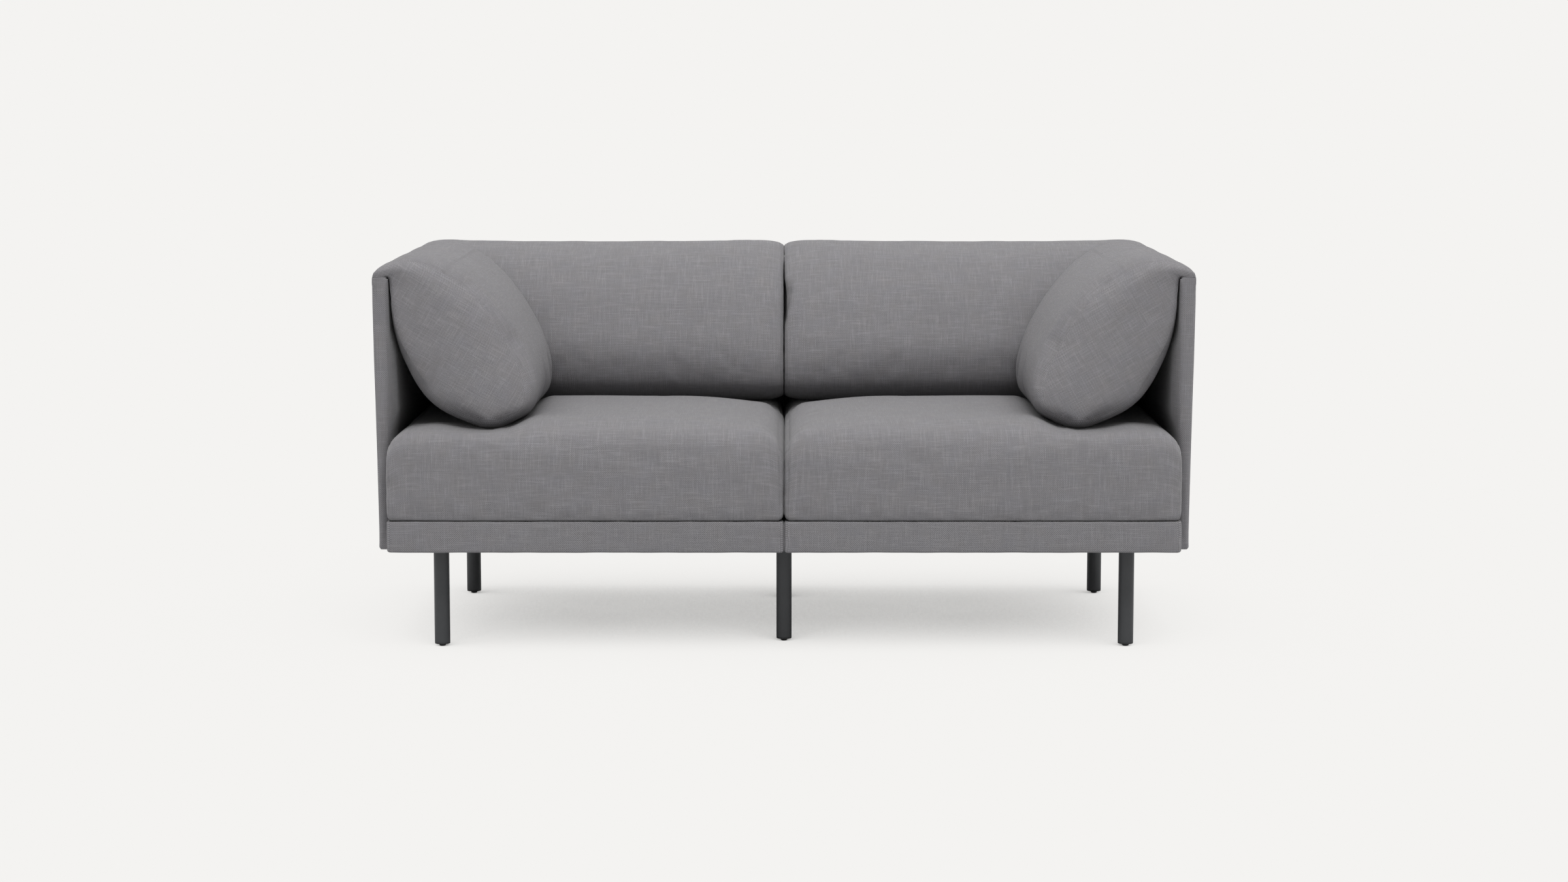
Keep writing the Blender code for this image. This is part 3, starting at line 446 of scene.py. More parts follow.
clothGroup, grainGroup, woodGroup = wovenClothGroup(), fineGrainGroup(), woodGrainGroup()
cushionCloth = clothMaterial("greyWovenCushionCloth", clothGroup)
biasCloth = clothMaterial("greyWovenBiasCloth", clothGroup, 1.05, 1.9, 0.45)
panelCloth = clothMaterial("greyWovenCoverCloth", clothGroup, 0.97, 2.1)
powderCoat = grainMaterial("charcoalPowderCoat", grainGroup, (0.036, 0.038, 0.041), (0.056, 0.058, 0.061), 0.42,
                           3200.0, 0.00006, Specular_IOR_Level=0.5)
zincPlate = grainMaterial("zincPlatedSteel", grainGroup, (0.44, 0.45, 0.46), (0.66, 0.67, 0.69), 0.34, 900.0, 0.00003,
                          Metallic=0.9)
blackNylon = grainMaterial("blackNylon", grainGroup, (0.011, 0.011, 0.012), (0.024, 0.024, 0.025), 0.48, 1800.0,
                           0.00005)
liningFelt = grainMaterial("blackLiningFelt", grainGroup, (0.007, 0.007, 0.008), (0.026, 0.026, 0.027), 0.95, 700.0,
                           0.0003)
elasticWeb = clothMaterial("blackElasticWebbing", clothGroup, 0.13)
railWood = woodMaterial("softwoodRails", woodGroup, (1.0, 1.0, 9.0), (0.40, 0.27, 0.14), (0.66, 0.50, 0.31))
boardWood = woodMaterial("birchPlywood", woodGroup, (1.4, 6.0, 1.0), (0.50, 0.36, 0.21), (0.74, 0.59, 0.40))
print("finishes made")


# Where things are, as the frame has them
seatLow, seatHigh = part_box("seat_cushion_right")
panelLow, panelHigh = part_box("arm_right_panel_cover")
baseLow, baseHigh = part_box("base_cover_right")
middleGap = baseLow.x                   # half the gap between the two modules
armFace, armOuter = panelLow.x, panelHigh.x
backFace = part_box("back_right_panel_cover")[0].y
panelTop = panelHigh.z
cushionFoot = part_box("back_cushion_right")[0].z
backLength = armFace - fineTouch - middleGap
seatLength, seatDepth, seatHeight = seatHigh.x - seatLow.x, seatHigh.y - seatLow.y, cushionFoot - seatLow.z

# Section of the cushions that hang over a panel, from the seat up: how far the side facing the panel and the
# side facing the sitter stand from the panel's inner face, with their heights, and how much each is rounded
# at the cushion's ends. The last rows are the flap that lies on the panel.
hungSection = np.array([
    [0.1800, 0.4526, 0.2280, 0.4526, 1.00, 1.0],
    [0.1510, 0.4604, 0.2556, 0.4604, 1.00, 1.0],
    [0.1130, 0.4777, 0.2811, 0.4777, 1.00, 1.0],
    [0.0740, 0.5097, 0.2976, 0.5097, 0.90, 1.0],
    [0.0530, 0.5414, 0.3000, 0.5414, 0.80, 1.0],
    [0.0300, 0.5853, 0.2901, 0.5853, 0.60, 1.0],
    [0.0120, 0.6371, 0.2643, 0.6371, 0.38, 1.0],
    [0.0035, 0.6913, 0.2304, 0.6913, 0.22, 1.0],
    [0.0018, 0.7315, 0.1941, 0.7315, 0.14, 1.0],
    [0.0014, 0.7520, 0.1515, 0.7663, 0.08, 1.0],
    [0.0010, 0.7625, 0.1200, 0.7840, 0.05, 1.0],
    [-0.0020, 0.7665, 0.0880, 0.7985, 0.0, 1.0],
    [-0.0080, 0.7663, 0.0560, 0.8062, 0.0, 1.0],
    [-0.0150, 0.7660, 0.0230, 0.8040, 0.0, 0.9],
    [-0.0210, 0.7659, -0.0020, 0.7945, 0.0, 0.7],
    [-0.0270, 0.7659, -0.0205, 0.7862, 0.0, 0.5],
    [-0.0312, 0.7661, -0.0298, 0.7757, 0.0, 0.3],
])
hungMiddle = (hungSection[:, :2] + hungSection[:, 2:4]) / 2
hungKnots = arcLength(hungMiddle) / arcLength(hungMiddle)[-1]

hungLook = {
    "endRound": 0.055,          # how far from a back cushion's sewn end its rounding begins
    "endFall": 0.014,           # how deep that rounding is
    "endDepth": 0.078,          # how far an arm cushion's round end stands out
    "endShare": 0.8,            # where on that ellipse the end piece is sewn on
    "footRelax": 0.6,           # how strongly, and how often, the front end's foot is smoothed
    "footRounds": 28,
    "footFill": 0.0045,         # how much it is filled out again after that
    "footRise": 0.037,          # how fast that end rises from the seat, as a height at its very tip
    "rearRound": 0.012,         # how round an arm cushion's rear end and a back cushion's outer end are
    "outerRound": 0.010,
    "drawIn": 0.003,            # how far an end is drawn in besides
    "drawInLength": 0.12,
    "seamFromEnd": 0.0045,
    "seamWidth": 0.0014,
    "seamDepth": 0.0006,
    "puckerReach": 0.035,       # how far the short pulls run in from a seam, and how deep they are
    "puckerSize": 0.0011,
    "unevenness": 0.0010,
    "footHalf": 0.085,          # the half thickness that its foot counts as, where its front end is rounded
    "fullHalf": 0.08,           # the half thickness from which that end stands out in full
    "gapToNeighbour": 0.004,
    "leastReach": 0.088,        # how far out a back cushion's top counts, where an arm cushion ends in front of it
    "tuckUnder": 0.024,         # how far the front of a back cushion goes back at its foot, and up to what height
    "tuckRise": 0.06,
    "flapFrom": 0.764,          # from what height up its flap goes on over the arm panel
    "flapCut": 0.014,           # how round that flap's corner is cut, as the panel's under it
    "extraCloth": 0.006,        # how much too much cloth there is, as a share
    "mostMove": 0.007,          # the most that the cloth simulation may move a point
    "armLength": 0.6,
    "fineStep": 0.0085,
    "coarseStep": 0.016,
}


def hungPoint(c, s, rearInset, frontInset):
    # A place in the section, c across from the panel's side and s up from the seat, drawn in by the insets
    # along the section's own inward way. Gives (distance from the panel's inner face, height).
    spot = smoothThrough(hungKnots, hungSection, s)
    step = 0.0005
    ahead = smoothThrough(hungKnots, hungSection, np.clip(s + step, 0, 1))
    behind = smoothThrough(hungKnots, hungSection, np.clip(s - step, 0, 1))
    along = ahead - behind
    rearWay = np.stack([along[:, 1], -along[:, 0]], 1)
    frontWay = np.stack([-along[:, 3], along[:, 2]], 1)
    rearWay /= np.linalg.norm(rearWay, axis=1, keepdims=True)
    frontWay /= np.linalg.norm(frontWay, axis=1, keepdims=True)
    rear = spot[:, 0:2] + rearWay * (rearInset * spot[:, 4])[:, None]
    front = spot[:, 2:4] + frontWay * (frontInset * spot[:, 5])[:, None]
    return rear + (front - rear) * c[:, None]


meetLook = {"width": 0.004, "wander": 0.0007, "bendLength": 0.018}


def pressedTogether(points, way, reach=0.02, bend=0.0, amount=1.0):
    # The sides that meet in the middle of the sofa swell until they all but touch, along a line that wanders a
    # little, the same for both, and that may bend to and fro from front to back. A left piece comes here as its
    # mirror image.
    look = meetLook
    side = np.exp(-((points[:, 0] - middleGap) / look["width"]) ** 2)
    low, high = points[:, 1:].min(0), points[:, 1:].max(0)
    inside = np.minimum(points[:, 1:] - low, high - points[:, 1:]).min(1)
    wander = look["wander"] * way * ripple(points[:, 1], points[:, 2], [0.13, 0.21, 0.34], 61)
    wander += bend * way * np.sin((points[:, 1] - low[0]) * 2 * pi / look["bendLength"])
    points[:, 0] -= side * (middleGap - fineTouch / 2 - wander) * ease(inside / reach) * amount
    return points


def pressedInPlace(points, way, reach, bend=0.0):       # the same for a piece that doesn't come mirrored
    mirror = np.array([way, 1, 1])
    return pressedTogether(points * mirror, way, reach, bend) * mirror


def backReach(height):          # how far the back cushion's front stands out, at a height or above it
    up, out = hungSection[:, 3], hungSection[:, 2]
    order = np.argsort(up)
    reach = np.maximum.accumulate(out[order][::-1])[::-1]
    return np.interp(height, up[order], reach)


def shoulderFall(x):            # how much of its height the back cushion keeps over the arm panel's corner
    places = armFace + np.array([-0.045, -0.032, -0.020, -0.010, 0.002, 0.011, 0.019, 0.0275])
    return np.interp(x, places, [1.0, 0.97, 0.93, 0.88, 0.79, 0.66, 0.52, 0.33])


def endInset(distance):         # a back cushion's sewn end falls in along a quarter of an ellipse
    look = hungLook
    pull = look["drawIn"] * (1 - ease(distance / look["drawInLength"]))
    return quarterDrop(distance, look["endRound"]) * look["endFall"] / look["endRound"] + pull


def armForm(c, s, along):       # an arm cushion on the right: x, y, z
    # Its front end is half an ellipse across the section: the end piece is the middle of that ellipse and the
    # wrapped cloth goes on with it until it runs straight. It is rounded less beside the panel.
    look = hungLook
    length, front, share = look["armLength"], panelLow.y, look["endShare"]
    spot = smoothThrough(hungKnots, hungSection, s)
    half = np.hypot(spot[:, 2] - spot[:, 0], spot[:, 3] - spot[:, 1]) / 2
    half = half + np.maximum(look["footHalf"] - half, 0) * (1 - ease(s / 0.3))
    depth = look["endDepth"] * np.clip(half / look["fullHalf"], 0.02, 1)
    depth *= 0.5 + 0.5 * ease(s / 0.45) + 0.6 * ease((s - 0.6) / 0.3)
    start = depth * (1 - np.sqrt(1 - share**2))
    t = np.clip(1 - (start + along) / depth, 0, 1)
    inset = half * (1 - np.sqrt(1 - t**2)) + quarterDrop(length - along, look["rearRound"])
    inset += look["drawIn"] * (1 - ease(along / look["drawInLength"]))
    flat = hungPoint(c, s, inset, inset)
    level = flat[:, 1] + np.maximum(flat[:, 1] - panelTop, 0) * (1 / shoulderFall(armFace - flat[:, 0]) - 1)
    far = backFace - np.maximum(backReach(level), look["leastReach"]) - look["gapToNeighbour"]
    y = front + along + ease((along - 0.08) / (length - 0.16)) * (far - front - length)
    beside = np.where(c < 0.5, 0.5 + 0.5 * spot[:, 4], 1.0)
    out = (np.abs((2 * c - 1) * beside) ** 3 + (0.35 * (1 - ease(s / 0.26))) ** 3) ** (1 / 3)
    hollow = depth * (1 - np.sqrt(1 - (share * np.clip(out, 0, 1)) ** 2))
    y += hollow * (1 - ease(along / 0.16))
    rise = look["footRise"] * (1 - np.sqrt(1 - t**2)) * (1 - ease(s / 0.15))
    return np.stack([armFace - flat[:, 0], y, flat[:, 1] + rise], 1)


def backForm(c, s, along):      # a back cushion on the right, whose flap goes on over the arm panel's corner
    look, length = hungLook, backLength
    inset = np.where(along < length / 2, endInset(along), quarterDrop(length - along, look["outerRound"]))
    flat = hungPoint(c, s, inset, inset)
    past = ease((flat[:, 1] - look["flapFrom"]) / 0.0022) * ease((along - length + 0.06) / 0.06)
    cut = quarterDrop(np.maximum(flat[:, 0], 0), look["flapCut"])
    x = middleGap + along + past * (armOuter - middleGap - length - cut)
    over = np.maximum(flat[:, 1] - panelTop - fineTouch, 0.0)
    under = look["tuckUnder"] * np.tanh(2.6 * (1 - np.clip((flat[:, 1] - cushionFoot) / look["tuckRise"], 0, 1)) ** 3)
    under = under * ease((c - 0.4) / 0.6)
    return np.stack([x, backFace - flat[:, 0] + under, flat[:, 1] - over * (1 - shoulderFall(x))], 1)


seatLook = {
    "crown": 0.0235,            # how high its middle stands, and how far from the front and the end it rises
    "crownEdge": 0.12,
    "crownSide": 0.24,
    "crownFromArm": 0.234,      # where the crown starts from the arm panel and from the back panel, and how soon
    "crownArmSpan": 0.072,      # it is full
    "crownFromBack": 0.24,
    "crownBackSpan": 0.099,
    "frontSwell": 0.009,        # how much higher it is in front of the arm cushion, and where
    "swellFromArm": 0.095,
    "swellWidth": 0.05,
    "frontRound": 0.031,        # how round its upper and its lower long edges are
    "footRound": 0.011,
    "sideRound": 0.045,         # how round the top and the corners are at its ends
    "cornerRound": 0.012,
    "bulge": 0.002,             # how much the middle of its front stands out
    "extraCloth": 0.012,
    "mostMove": 0.0028,
    "seamFromEnd": 0.0065,
    "seamWidth": 0.0013,
    "seamDepth": 0.0010,
    "puckerReach": 0.03,
    "puckerSize": 0.0006,
    "unevenness": 0.0010,
    "fineStep": 0.0095,
    "coarseStep": 0.0175,
}


def seatForm(c, s, along):
    # A block from front (c = 0) to rear and bottom (s = 0) to top. Each long edge is rounded: what lies within a
    # radius of a corner is drawn onto a circle. The top is crowned in front of the cushions that rest on it.
    look = seatLook
    x = seatLow.x + along
    end = np.minimum(along, seatLength - along)
    small, large = quarterDrop(end, look["cornerRound"]), quarterDrop(end, look["sideRound"])
    lowY = seatLow.y + small + look["bulge"] * (1 - ease(end / 0.15))
    highY, lowZ = seatHigh.y - small, seatLow.z + small
    highZ = cushionFoot - fineTouch - large
    y, z = lowY + c * (highY - lowY), lowZ + s * (highZ - lowZ)
    radius = np.where(s > 0.5, look["frontRound"], look["footRound"])
    offY = y - np.clip(y, lowY + radius, highY - radius)
    offZ = z - np.clip(z, lowZ + radius, highZ - radius)
    size = np.maximum(np.hypot(offY, offZ), 1e-9)
    scale = np.maximum(np.abs(offY), np.abs(offZ)) / size
    y, z = y - offY * (1 - scale), z - offZ * (1 - scale)
    y = y + look["bulge"] * (2 * s - 1) ** 2 * (1 - ease(c / 0.1))
    fromArm = ease((armFace - x - look["crownFromArm"]) / look["crownArmSpan"])
    fromBack = ease((backFace - y - look["crownFromBack"]) / look["crownBackSpan"])
    fromEdges = np.sqrt(ease((x - seatLow.x) / look["crownSide"]) * ease((y - seatLow.y) / look["crownEdge"]))
    z = z + look["crown"] * fromArm * fromBack * fromEdges * s**6
    # In front of the arm cushion nothing presses it down
    free = np.exp(-((x - armFace + look["swellFromArm"]) / look["swellWidth"]) ** 2)
    free = free * ease((y - seatLow.y) / 0.09) * (1 - ease((y + 0.30) / 0.12))
    z = z + look["frontSwell"] * free * s**6
    return np.stack([x, y, z], 1)


def cubicWeights(coarse, fine):
    # How much each coarse place counts at each fine one: a cubic through the four nearest
    place = np.interp(fine, coarse, np.arange(len(coarse)))
    first = np.minimum(place.astype(int), len(coarse) - 2)
    t = place - first
    shares = [(-t + 2 * t**2 - t**3) / 2, (2 - 5 * t**2 + 3 * t**3) / 2, (t + 4 * t**2 - 3 * t**3) / 2,
              (t**3 - t**2) / 2]
    weights = np.zeros((len(fine), len(coarse)))
    for step, share in zip((-1, 0, 1, 2), shares):
        np.add.at(weights, (np.arange(len(fine)), np.clip(first + step, 0, len(coarse) - 1)), share)
    return weights


def carryOver(moved, coarseIds, coarseGrids, fineIds, fineGrids, count):
    # Takes what the cloth did on the coarse block to the fine one, side by side
    result = np.zeros((count, 3))
    for axis in range(3):
        one, two = [n for n in range(3) if n != axis]
        first, second = (cubicWeights(coarseGrids[n], fineGrids[n]) for n in (one, two))
        for end in (0, -1):
            sheet = moved[coarseIds.take(end, axis=axis)]
            result[fineIds.take(end, axis=axis)] = np.einsum("ip,pqx,jq->ijx", first, sheet, second)
    return result


simLook = {"frames": 18, "pressure": 3.0, "quality": 5, "mass": 0.25, "stretch": 18, "shear": 8, "bend": 1.5}


def simulated(form, grids, held, look):
    # Blender's cloth on the coarse shell: a little too much cloth, filled with air, held where it rests and is
    # sewn. Gives how far each point moved, softly kept under the most that it may.
    params, quads, ids = shellGrid(*grids)
    points = form(*params.T)
    faces = outwards(points, np.concatenate(list(quads.values())))
    trial = placed("clothTrial", putMesh("clothTrial", points, faces))
    trial.vertex_groups.new(name="held").add(np.nonzero(held(*params.T))[0].tolist(), 1.0, "REPLACE")
    modifier = trial.modifiers.new("cloth", "CLOTH")
    settings = modifier.settings
    settings.quality, settings.mass = simLook["quality"], simLook["mass"]
    settings.tension_stiffness = settings.compression_stiffness = simLook["stretch"]
    settings.shear_stiffness, settings.bending_stiffness = simLook["shear"], simLook["bend"]
    settings.vertex_group_mass = "held"
    settings.shrink_min = -look["extraCloth"]
    settings.use_pressure, settings.uniform_pressure_force = True, simLook["pressure"]
    settings.effector_weights.gravity = 0
    modifier.collision_settings.use_collision = False
    scene = bpy.context.scene
    for number in range(1, simLook["frames"] + 1):
        scene.frame_set(number)
    shaped = trial.evaluated_get(bpy.context.evaluated_depsgraph_get()).to_mesh()
    found = np.empty(len(points) * 3, np.float32)
    shaped.vertices.foreach_get("co", found)
    scene.frame_set(1)
    bpy.data.objects.remove(trial)
    moved = found.reshape(-1, 3) - points
    far, most = np.linalg.norm(moved, axis=1, keepdims=True), look["mostMove"]
    return moved * most * np.tanh(far / most) / np.maximum(far, 1e-9), ids


def clothUv(form, params, quads, grids, turn, capAxes):
    # The cloth that wraps round is laid out by its length and by the distance walked round the section.
    # The end pieces are laid out flat, turned by an angle.
    across, up, along = grids
    middle = along[len(along) // 2]

    def walk(c, s):
        return arcLength(form(c, s, np.full(len(c), middle)))

    rear, front = walk(np.zeros(len(up)), up), walk(np.ones(len(up)), up)
    foot, top = walk(across, np.zeros(len(across))), walk(across, np.ones(len(across)))
    c, s, length = params.T
    points = form(*params.T)
    spin = np.array([[cos(turn), sin(turn)], [-sin(turn), cos(turn)]])
    flat = points[:, capAxes] @ spin + 3.0
    laid = {
        (0, 0): np.stack([length, -np.interp(s, up, rear)], 1),
        (0, 1): np.stack([length, foot[-1] + np.interp(s, up, front)], 1),
        (1, 0): np.stack([length, np.interp(c, across, foot)], 1),
        (1, 1): np.stack([length, -rear[-1] - np.interp(c, across, top)], 1),
        (2, 0): flat, (2, 1): flat,
    }
    return {key: laid[key][faces] for key, faces in quads.items()}


def relaxed(points, quads, weight, rounds):
    # Each round moves a point towards the mean of its neighbours, only along its normal: the weave stays put
    pairs = np.concatenate([quads[:, [n, (n + 1) % 4]] for n in range(4)])
    here, there = pairs.T
    count = np.bincount(here, minlength=len(points))
    for _ in range(rounds):
        mean = np.stack([np.bincount(here, points[there, k], len(points)) for k in range(3)], 1) / count[:, None]
        normals = normalsOf(points, quads)
        points = points + (weight * np.einsum("ij,ij->i", mean - points, normals))[:, None] * normals
    return points


def addCushions(name, body, stands, material, form, finish, look, grids, held, turn, capAxes, smoothed=None):
    # One shape for both sides of the sofa: the left one is the right one seen in a mirror
    fine, coarse = grids
    params, quads, ids = shellGrid(*fine)
    points = form(*params.T)
    moved, coarseIds = simulated(form, coarse, held, look)
    points = points + carryOver(moved, coarseIds, coarse, ids, fine, len(points))
    uv = clothUv(form, params, quads, fine, turn, capAxes)
    faces = np.concatenate(list(quads.values()))
    corners = np.concatenate([uv[key] for key in quads])
    if not np.array_equal(outwards(points, faces), faces):
        faces, corners = faces[:, ::-1], corners[:, ::-1]
    if smoothed:
        points = smoothed(points, faces, params)
    pieces = []
    for label, way in sides.items():
        shaped = finish(points, normalsOf(points, faces), params, way) * np.array([way, 1, 1])
        own = corners[:, ::way] + np.array([0.37 * way, 0.21 * way])
        shape = shaped, faces[:, ::way], own.reshape(-1, 2)
        pieces.append(addPiece(f"{name}_{label}", body.format(label), material, shape,
                               [stands.format(label)]))
    return pieces


def groove(distance, place, width, depth):      # a seam: a round-bottomed valley along a line
    return -depth * np.exp(-((distance - place) / width) ** 2)


def sewnEnd(end, walked, look, seed, seamShare=1.0, puckerShare=1.0):
    # The seam near an end, and the short pulls that run in from it and fade
    distance = end - look["seamFromEnd"]
    run = np.exp(-np.clip(distance, 0, None) / look["puckerReach"]) * (1 - np.exp(-((distance / 0.004) ** 2)))
    pulls = look["puckerSize"] * run * ripple(walked, walked * 0, [0.021, 0.034, 0.055, 0.089], seed)
    return groove(distance, 0.0, look["seamWidth"], look["seamDepth"]) * seamShare + pulls * puckerShare


def finishHung(points, normals, params, isBack):
    c, s, along = params.T
    look = hungLook
    end = along if isBack else np.minimum(along, look["armLength"] - along)
    walked = np.where(c > 0.5, 1, -1) * s * 0.45            # about the length of the section
    lift = sewnEnd(end, walked, look, 5) if isBack else sewnEnd(end, walked, look, 8, 0.0, 0.5)
    free = ease((points[:, 2] - cushionFoot - 0.0034) / 0.03) * ease(c * 4) * ease(end / 0.03)
    lift += look["unevenness"] * free * ripple(along, walked, [0.16, 0.23, 0.31, 0.47], 11 if isBack else 12)
    return points + normals * lift[:, None]


def finishArm(points, normals, params, way):
    shaped = finishHung(points, normals, params, False)
    beside = shaped[:, 2] < panelTop
    shaped[beside, 0] = np.minimum(shaped[beside, 0], armFace - fineTouch)      # it lies against the panel
    return shaped


backLook = {
    "pulls": ((0.700, 0.10, 0.0012, 0.006), (0.592, -0.10, 0.0012, 0.007)),     # height, slope, depth, width
    "pullLength": 0.05,
    "tuckHeight": 0.628,        # where the right one's edge is tucked in, how steeply the fold runs in, and how far
    "tuckSteep": 5.3,
    "tuckSide": 0.0045,
    "tuckDepth": 0.009,
}


def finishBack(points, normals, params, way):
    # Shallow pulls run in from the middle seam, and the right cushion's edge is tucked in at one place
    look = backLook
    shaped = finishHung(points, normals, params, True)
    c, along = params[:, 0], params[:, 2]
    front = ease((c - 0.6) / 0.4)
    near = np.exp(-(along / look["pullLength"] - 1) ** 2)
    for height, slope, depth, width in look["pulls"]:
        off = shaped[:, 2] - height - slope * along
        shaped[:, 1] += front * depth * np.exp(-(off / width) ** 2) * near
    tucked = 0.0
    if way > 0:
        line = 0.0014 + (shaped[:, 2] - look["tuckHeight"]) / look["tuckSteep"]
        tucked = ease((line - along) / 0.005 + 0.6) * ease((shaped[:, 2] - 0.622) / 0.025)
        tucked = tucked * (1 - ease((shaped[:, 2] - 0.69) / 0.04)) * ease((c - 0.5) / 0.3)
    beside = shaped[:, 2] < panelTop
    shaped[beside, 1] = np.minimum(shaped[beside, 1], backFace - fineTouch)     # it lies against the panel
    closed = np.maximum(ease((0.95 - c) / 0.2), ease((shaped[:, 2] - 0.745) / 0.02))
    shaped = pressedTogether(shaped, way, 0.012, amount=closed)
    shaped[:, 0] += look["tuckSide"] * tucked
    shaped[:, 1] += look["tuckDepth"] * tucked
    return shaped


def finishSeat(points, normals, params, way):
    s, along = params[:, 1], params[:, 2]
    end = np.minimum(along, seatLength - along)
    lift = sewnEnd(end, points[:, 1] + points[:, 2], seatLook, 3)
    top = ease((s - 0.5) * 2) * ease((backFace - 0.29 - points[:, 1]) / 0.05) * ease(end / 0.04)
    lift += seatLook["unevenness"] * top * ripple(points[:, 0], points[:, 1], [0.19, 0.27, 0.41], 21)
    return pressedTogether(points + normals * lift[:, None], way)


def armFootSmoothed(points, faces, params):
    atFoot = (1 - ease(params[:, 1] / 0.24)) * (1 - ease((params[:, 2] - 0.03) / 0.10))
    points = relaxed(points, faces, hungLook["footRelax"] * atFoot, hungLook["footRounds"])
    return points + normalsOf(points, faces) * (hungLook["footFill"] * atFoot)[:, None]


def hungGrids(length, step, seams=()):      # places across, up and along, closer at the flap and the seams if any
    up = np.unique(np.concatenate([np.linspace(0, 1, int(0.43 / step)), hungKnots[9:14]]).round(5))
    near, close = np.array([0.0, 0.007, 0.018, 0.032]), []
    if seams:
        up = np.unique(np.concatenate([up, np.linspace(hungKnots[8], 1, 26)]).round(5))
        near = np.array([0.0, 0.002, 0.005, 0.009, 0.014, 0.020, 0.027, 0.035])
        close = np.ravel(np.array(seams)[:, None] + np.array([-0.003, -0.0015, 0.0, 0.0015, 0.003]))
    along = spaced(0.0, length, step, seams)
    along = along[(along > near[-1] + step / 3) & (along < length - near[-1] - step / 3)]
    every = np.unique(np.concatenate([near, length - near, along, close]).round(6))
    return [np.linspace(0, 1, max(5, int(0.16 / step))), up, every]


def seatGrids(step, near, nearEnd):     # near lists the places close to a long edge, nearEnd those close to an end
    def edged(reach, close):
        close = np.array(close)
        inner = np.linspace(close[-1], reach - close[-1], int((reach - 2 * close[-1]) / step) + 1)
        return np.unique(np.concatenate([close, inner, reach - close]).round(6))
    return [edged(seatDepth, near) / seatDepth, edged(seatHeight, near) / seatHeight, edged(seatLength, nearEnd)]


# Where each cushion rests or is sewn, so that the simulation holds it there

def armHeld(c, s, along):
    atEnd = (along < 0.001) | (along > hungLook["armLength"] - 0.001)
    return (s > 0.6) & (c < 0.01) | (s < 0.06) | (s > 0.93) | atEnd


def backHeld(c, s, along):
    return (s > 0.6) & (c < 0.01) | (s < 0.05) | (s > 0.93) | (along < 0.001) | (along > backLength - 0.03)


def seatHeld(c, s, along):
    atEnd = (along < 0.001) | (along > seatLength - 0.001)
    return (s < 0.04) | (c > 0.7) | (along > seatLength - 0.22) & (s > 0.9) | atEnd


print("shapes set out")

armLength, seam = hungLook["armLength"], hungLook["seamFromEnd"]
armGrids = (hungGrids(armLength, hungLook["fineStep"], [seam, armLength - seam]),
            hungGrids(armLength, hungLook["coarseStep"]))
for piece in addCushions("armCushion", "{}_arm_cushion", "arm_cushion_{}", biasCloth, armForm, finishArm, hungLook,
                         armGrids, armHeld, radians(-31), [0, 2], armFootSmoothed):
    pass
print("arm cushions made")

backGrids = hungGrids(backLength, hungLook["fineStep"], [seam]), hungGrids(backLength, hungLook["coarseStep"])
for piece in addCushions("backCushion", "sofa", "back_cushion_{}", cushionCloth, backForm, finishBack, hungLook,
                         backGrids, backHeld, 0.0, [1, 2]):
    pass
print("back cushions made")

bothSeatGrids = (seatGrids(seatLook["fineStep"], [0, 0.003, 0.007, 0.012, 0.018, 0.025, 0.035],
                           [0, 0.0015, 0.003, 0.0045, 0.0055, 0.0065, 0.0075, 0.0085, 0.0105, 0.014, 0.02, 0.028,
                            0.037, 0.046]),
                 seatGrids(seatLook["coarseStep"], [0, 0.009, 0.022, 0.036], [0, 0.005, 0.014, 0.030]))
for piece in addCushions("seatCushion", "{}_seat_cushion", "seat_cushion_{}", cushionCloth, seatForm, finishSeat,
                         seatLook, bothSeatGrids, seatHeld, 0.0, [1, 2]):
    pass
print("seat cushions made")

# Panels: a board in a padded cover, sewn along the edges of its narrow strip
panelLook = {
    "round": 0.0125,            # how round its edges are, at the top and at the foot too
    "topRound": 0.0005,
    "footRound": 0.0065,
    "padding": 0.0018,          # how much its broad sides swell
    "innerPadding": 0.010,      # how much an arm panel's inner side swells besides, and between what heights
    "softLow": 0.43,
    "softHigh": 0.60,
    "shoulderDrop": 0.003,      # how much lower an arm panel's top is along its inner edge
    "shoulderReach": 0.012,
    "unevenness": 0.0006,
    "seamFromEdge": 0.0075,
    "seamWidth": 0.0011,
    "seamDepth": 0.0005,
    "stripSeam": 0.86,          # where the seams of its narrow strip run and how wide they are, as shares of it
    "stripSeamWidth": 0.09,
    "step": 0.012,
    "closeStep": 0.0014,
}
# How far the arm panel's outer side stands out of the frame's, by height
panelLean = np.array([[0.204, -0.0025], [0.25, -0.0024], [0.31, -0.0018], [0.39, -0.0008], [0.50, 0.0010],
                      [0.60, 0.0030], [0.72, 0.0044], [0.75, 0.0042], [0.766, 0.0034]])


def roundedBlock(low, high, radius, step, closeStep, topRadius, footRadius):
    # A block whose edges are rounded: what lies within a radius of an edge is drawn onto a ball. The radius
    # is smaller at the top and larger at the foot.
    low, high = np.array(low), np.array(high)
    grids = []
    for n in range(3):
        size = high[n] - low[n]
        near = np.arange(0, radius * 1.01, closeStep)
        inner = np.linspace(radius, size - radius, max(3, int((size - 2 * radius) / step) + 1))
        grids.append(np.unique(np.concatenate([near, inner, size - near]).round(6)) + low[n])
    points, quads = shellGrid(*grids)[:2]
    up = (points[:, 2:] - low[2]) / (high[2] - low[2])
    own = radius + (topRadius - radius) * ease((up - 0.94) / 0.06) + (footRadius - radius) * (1 - ease(up / 0.06))
    off = points - np.clip(points, low + own, high - own)
    size = np.maximum(np.linalg.norm(off, axis=1), 1e-9)
    points = points - off * (1 - np.abs(off).max(1) / size)[:, None]
    return points, quads


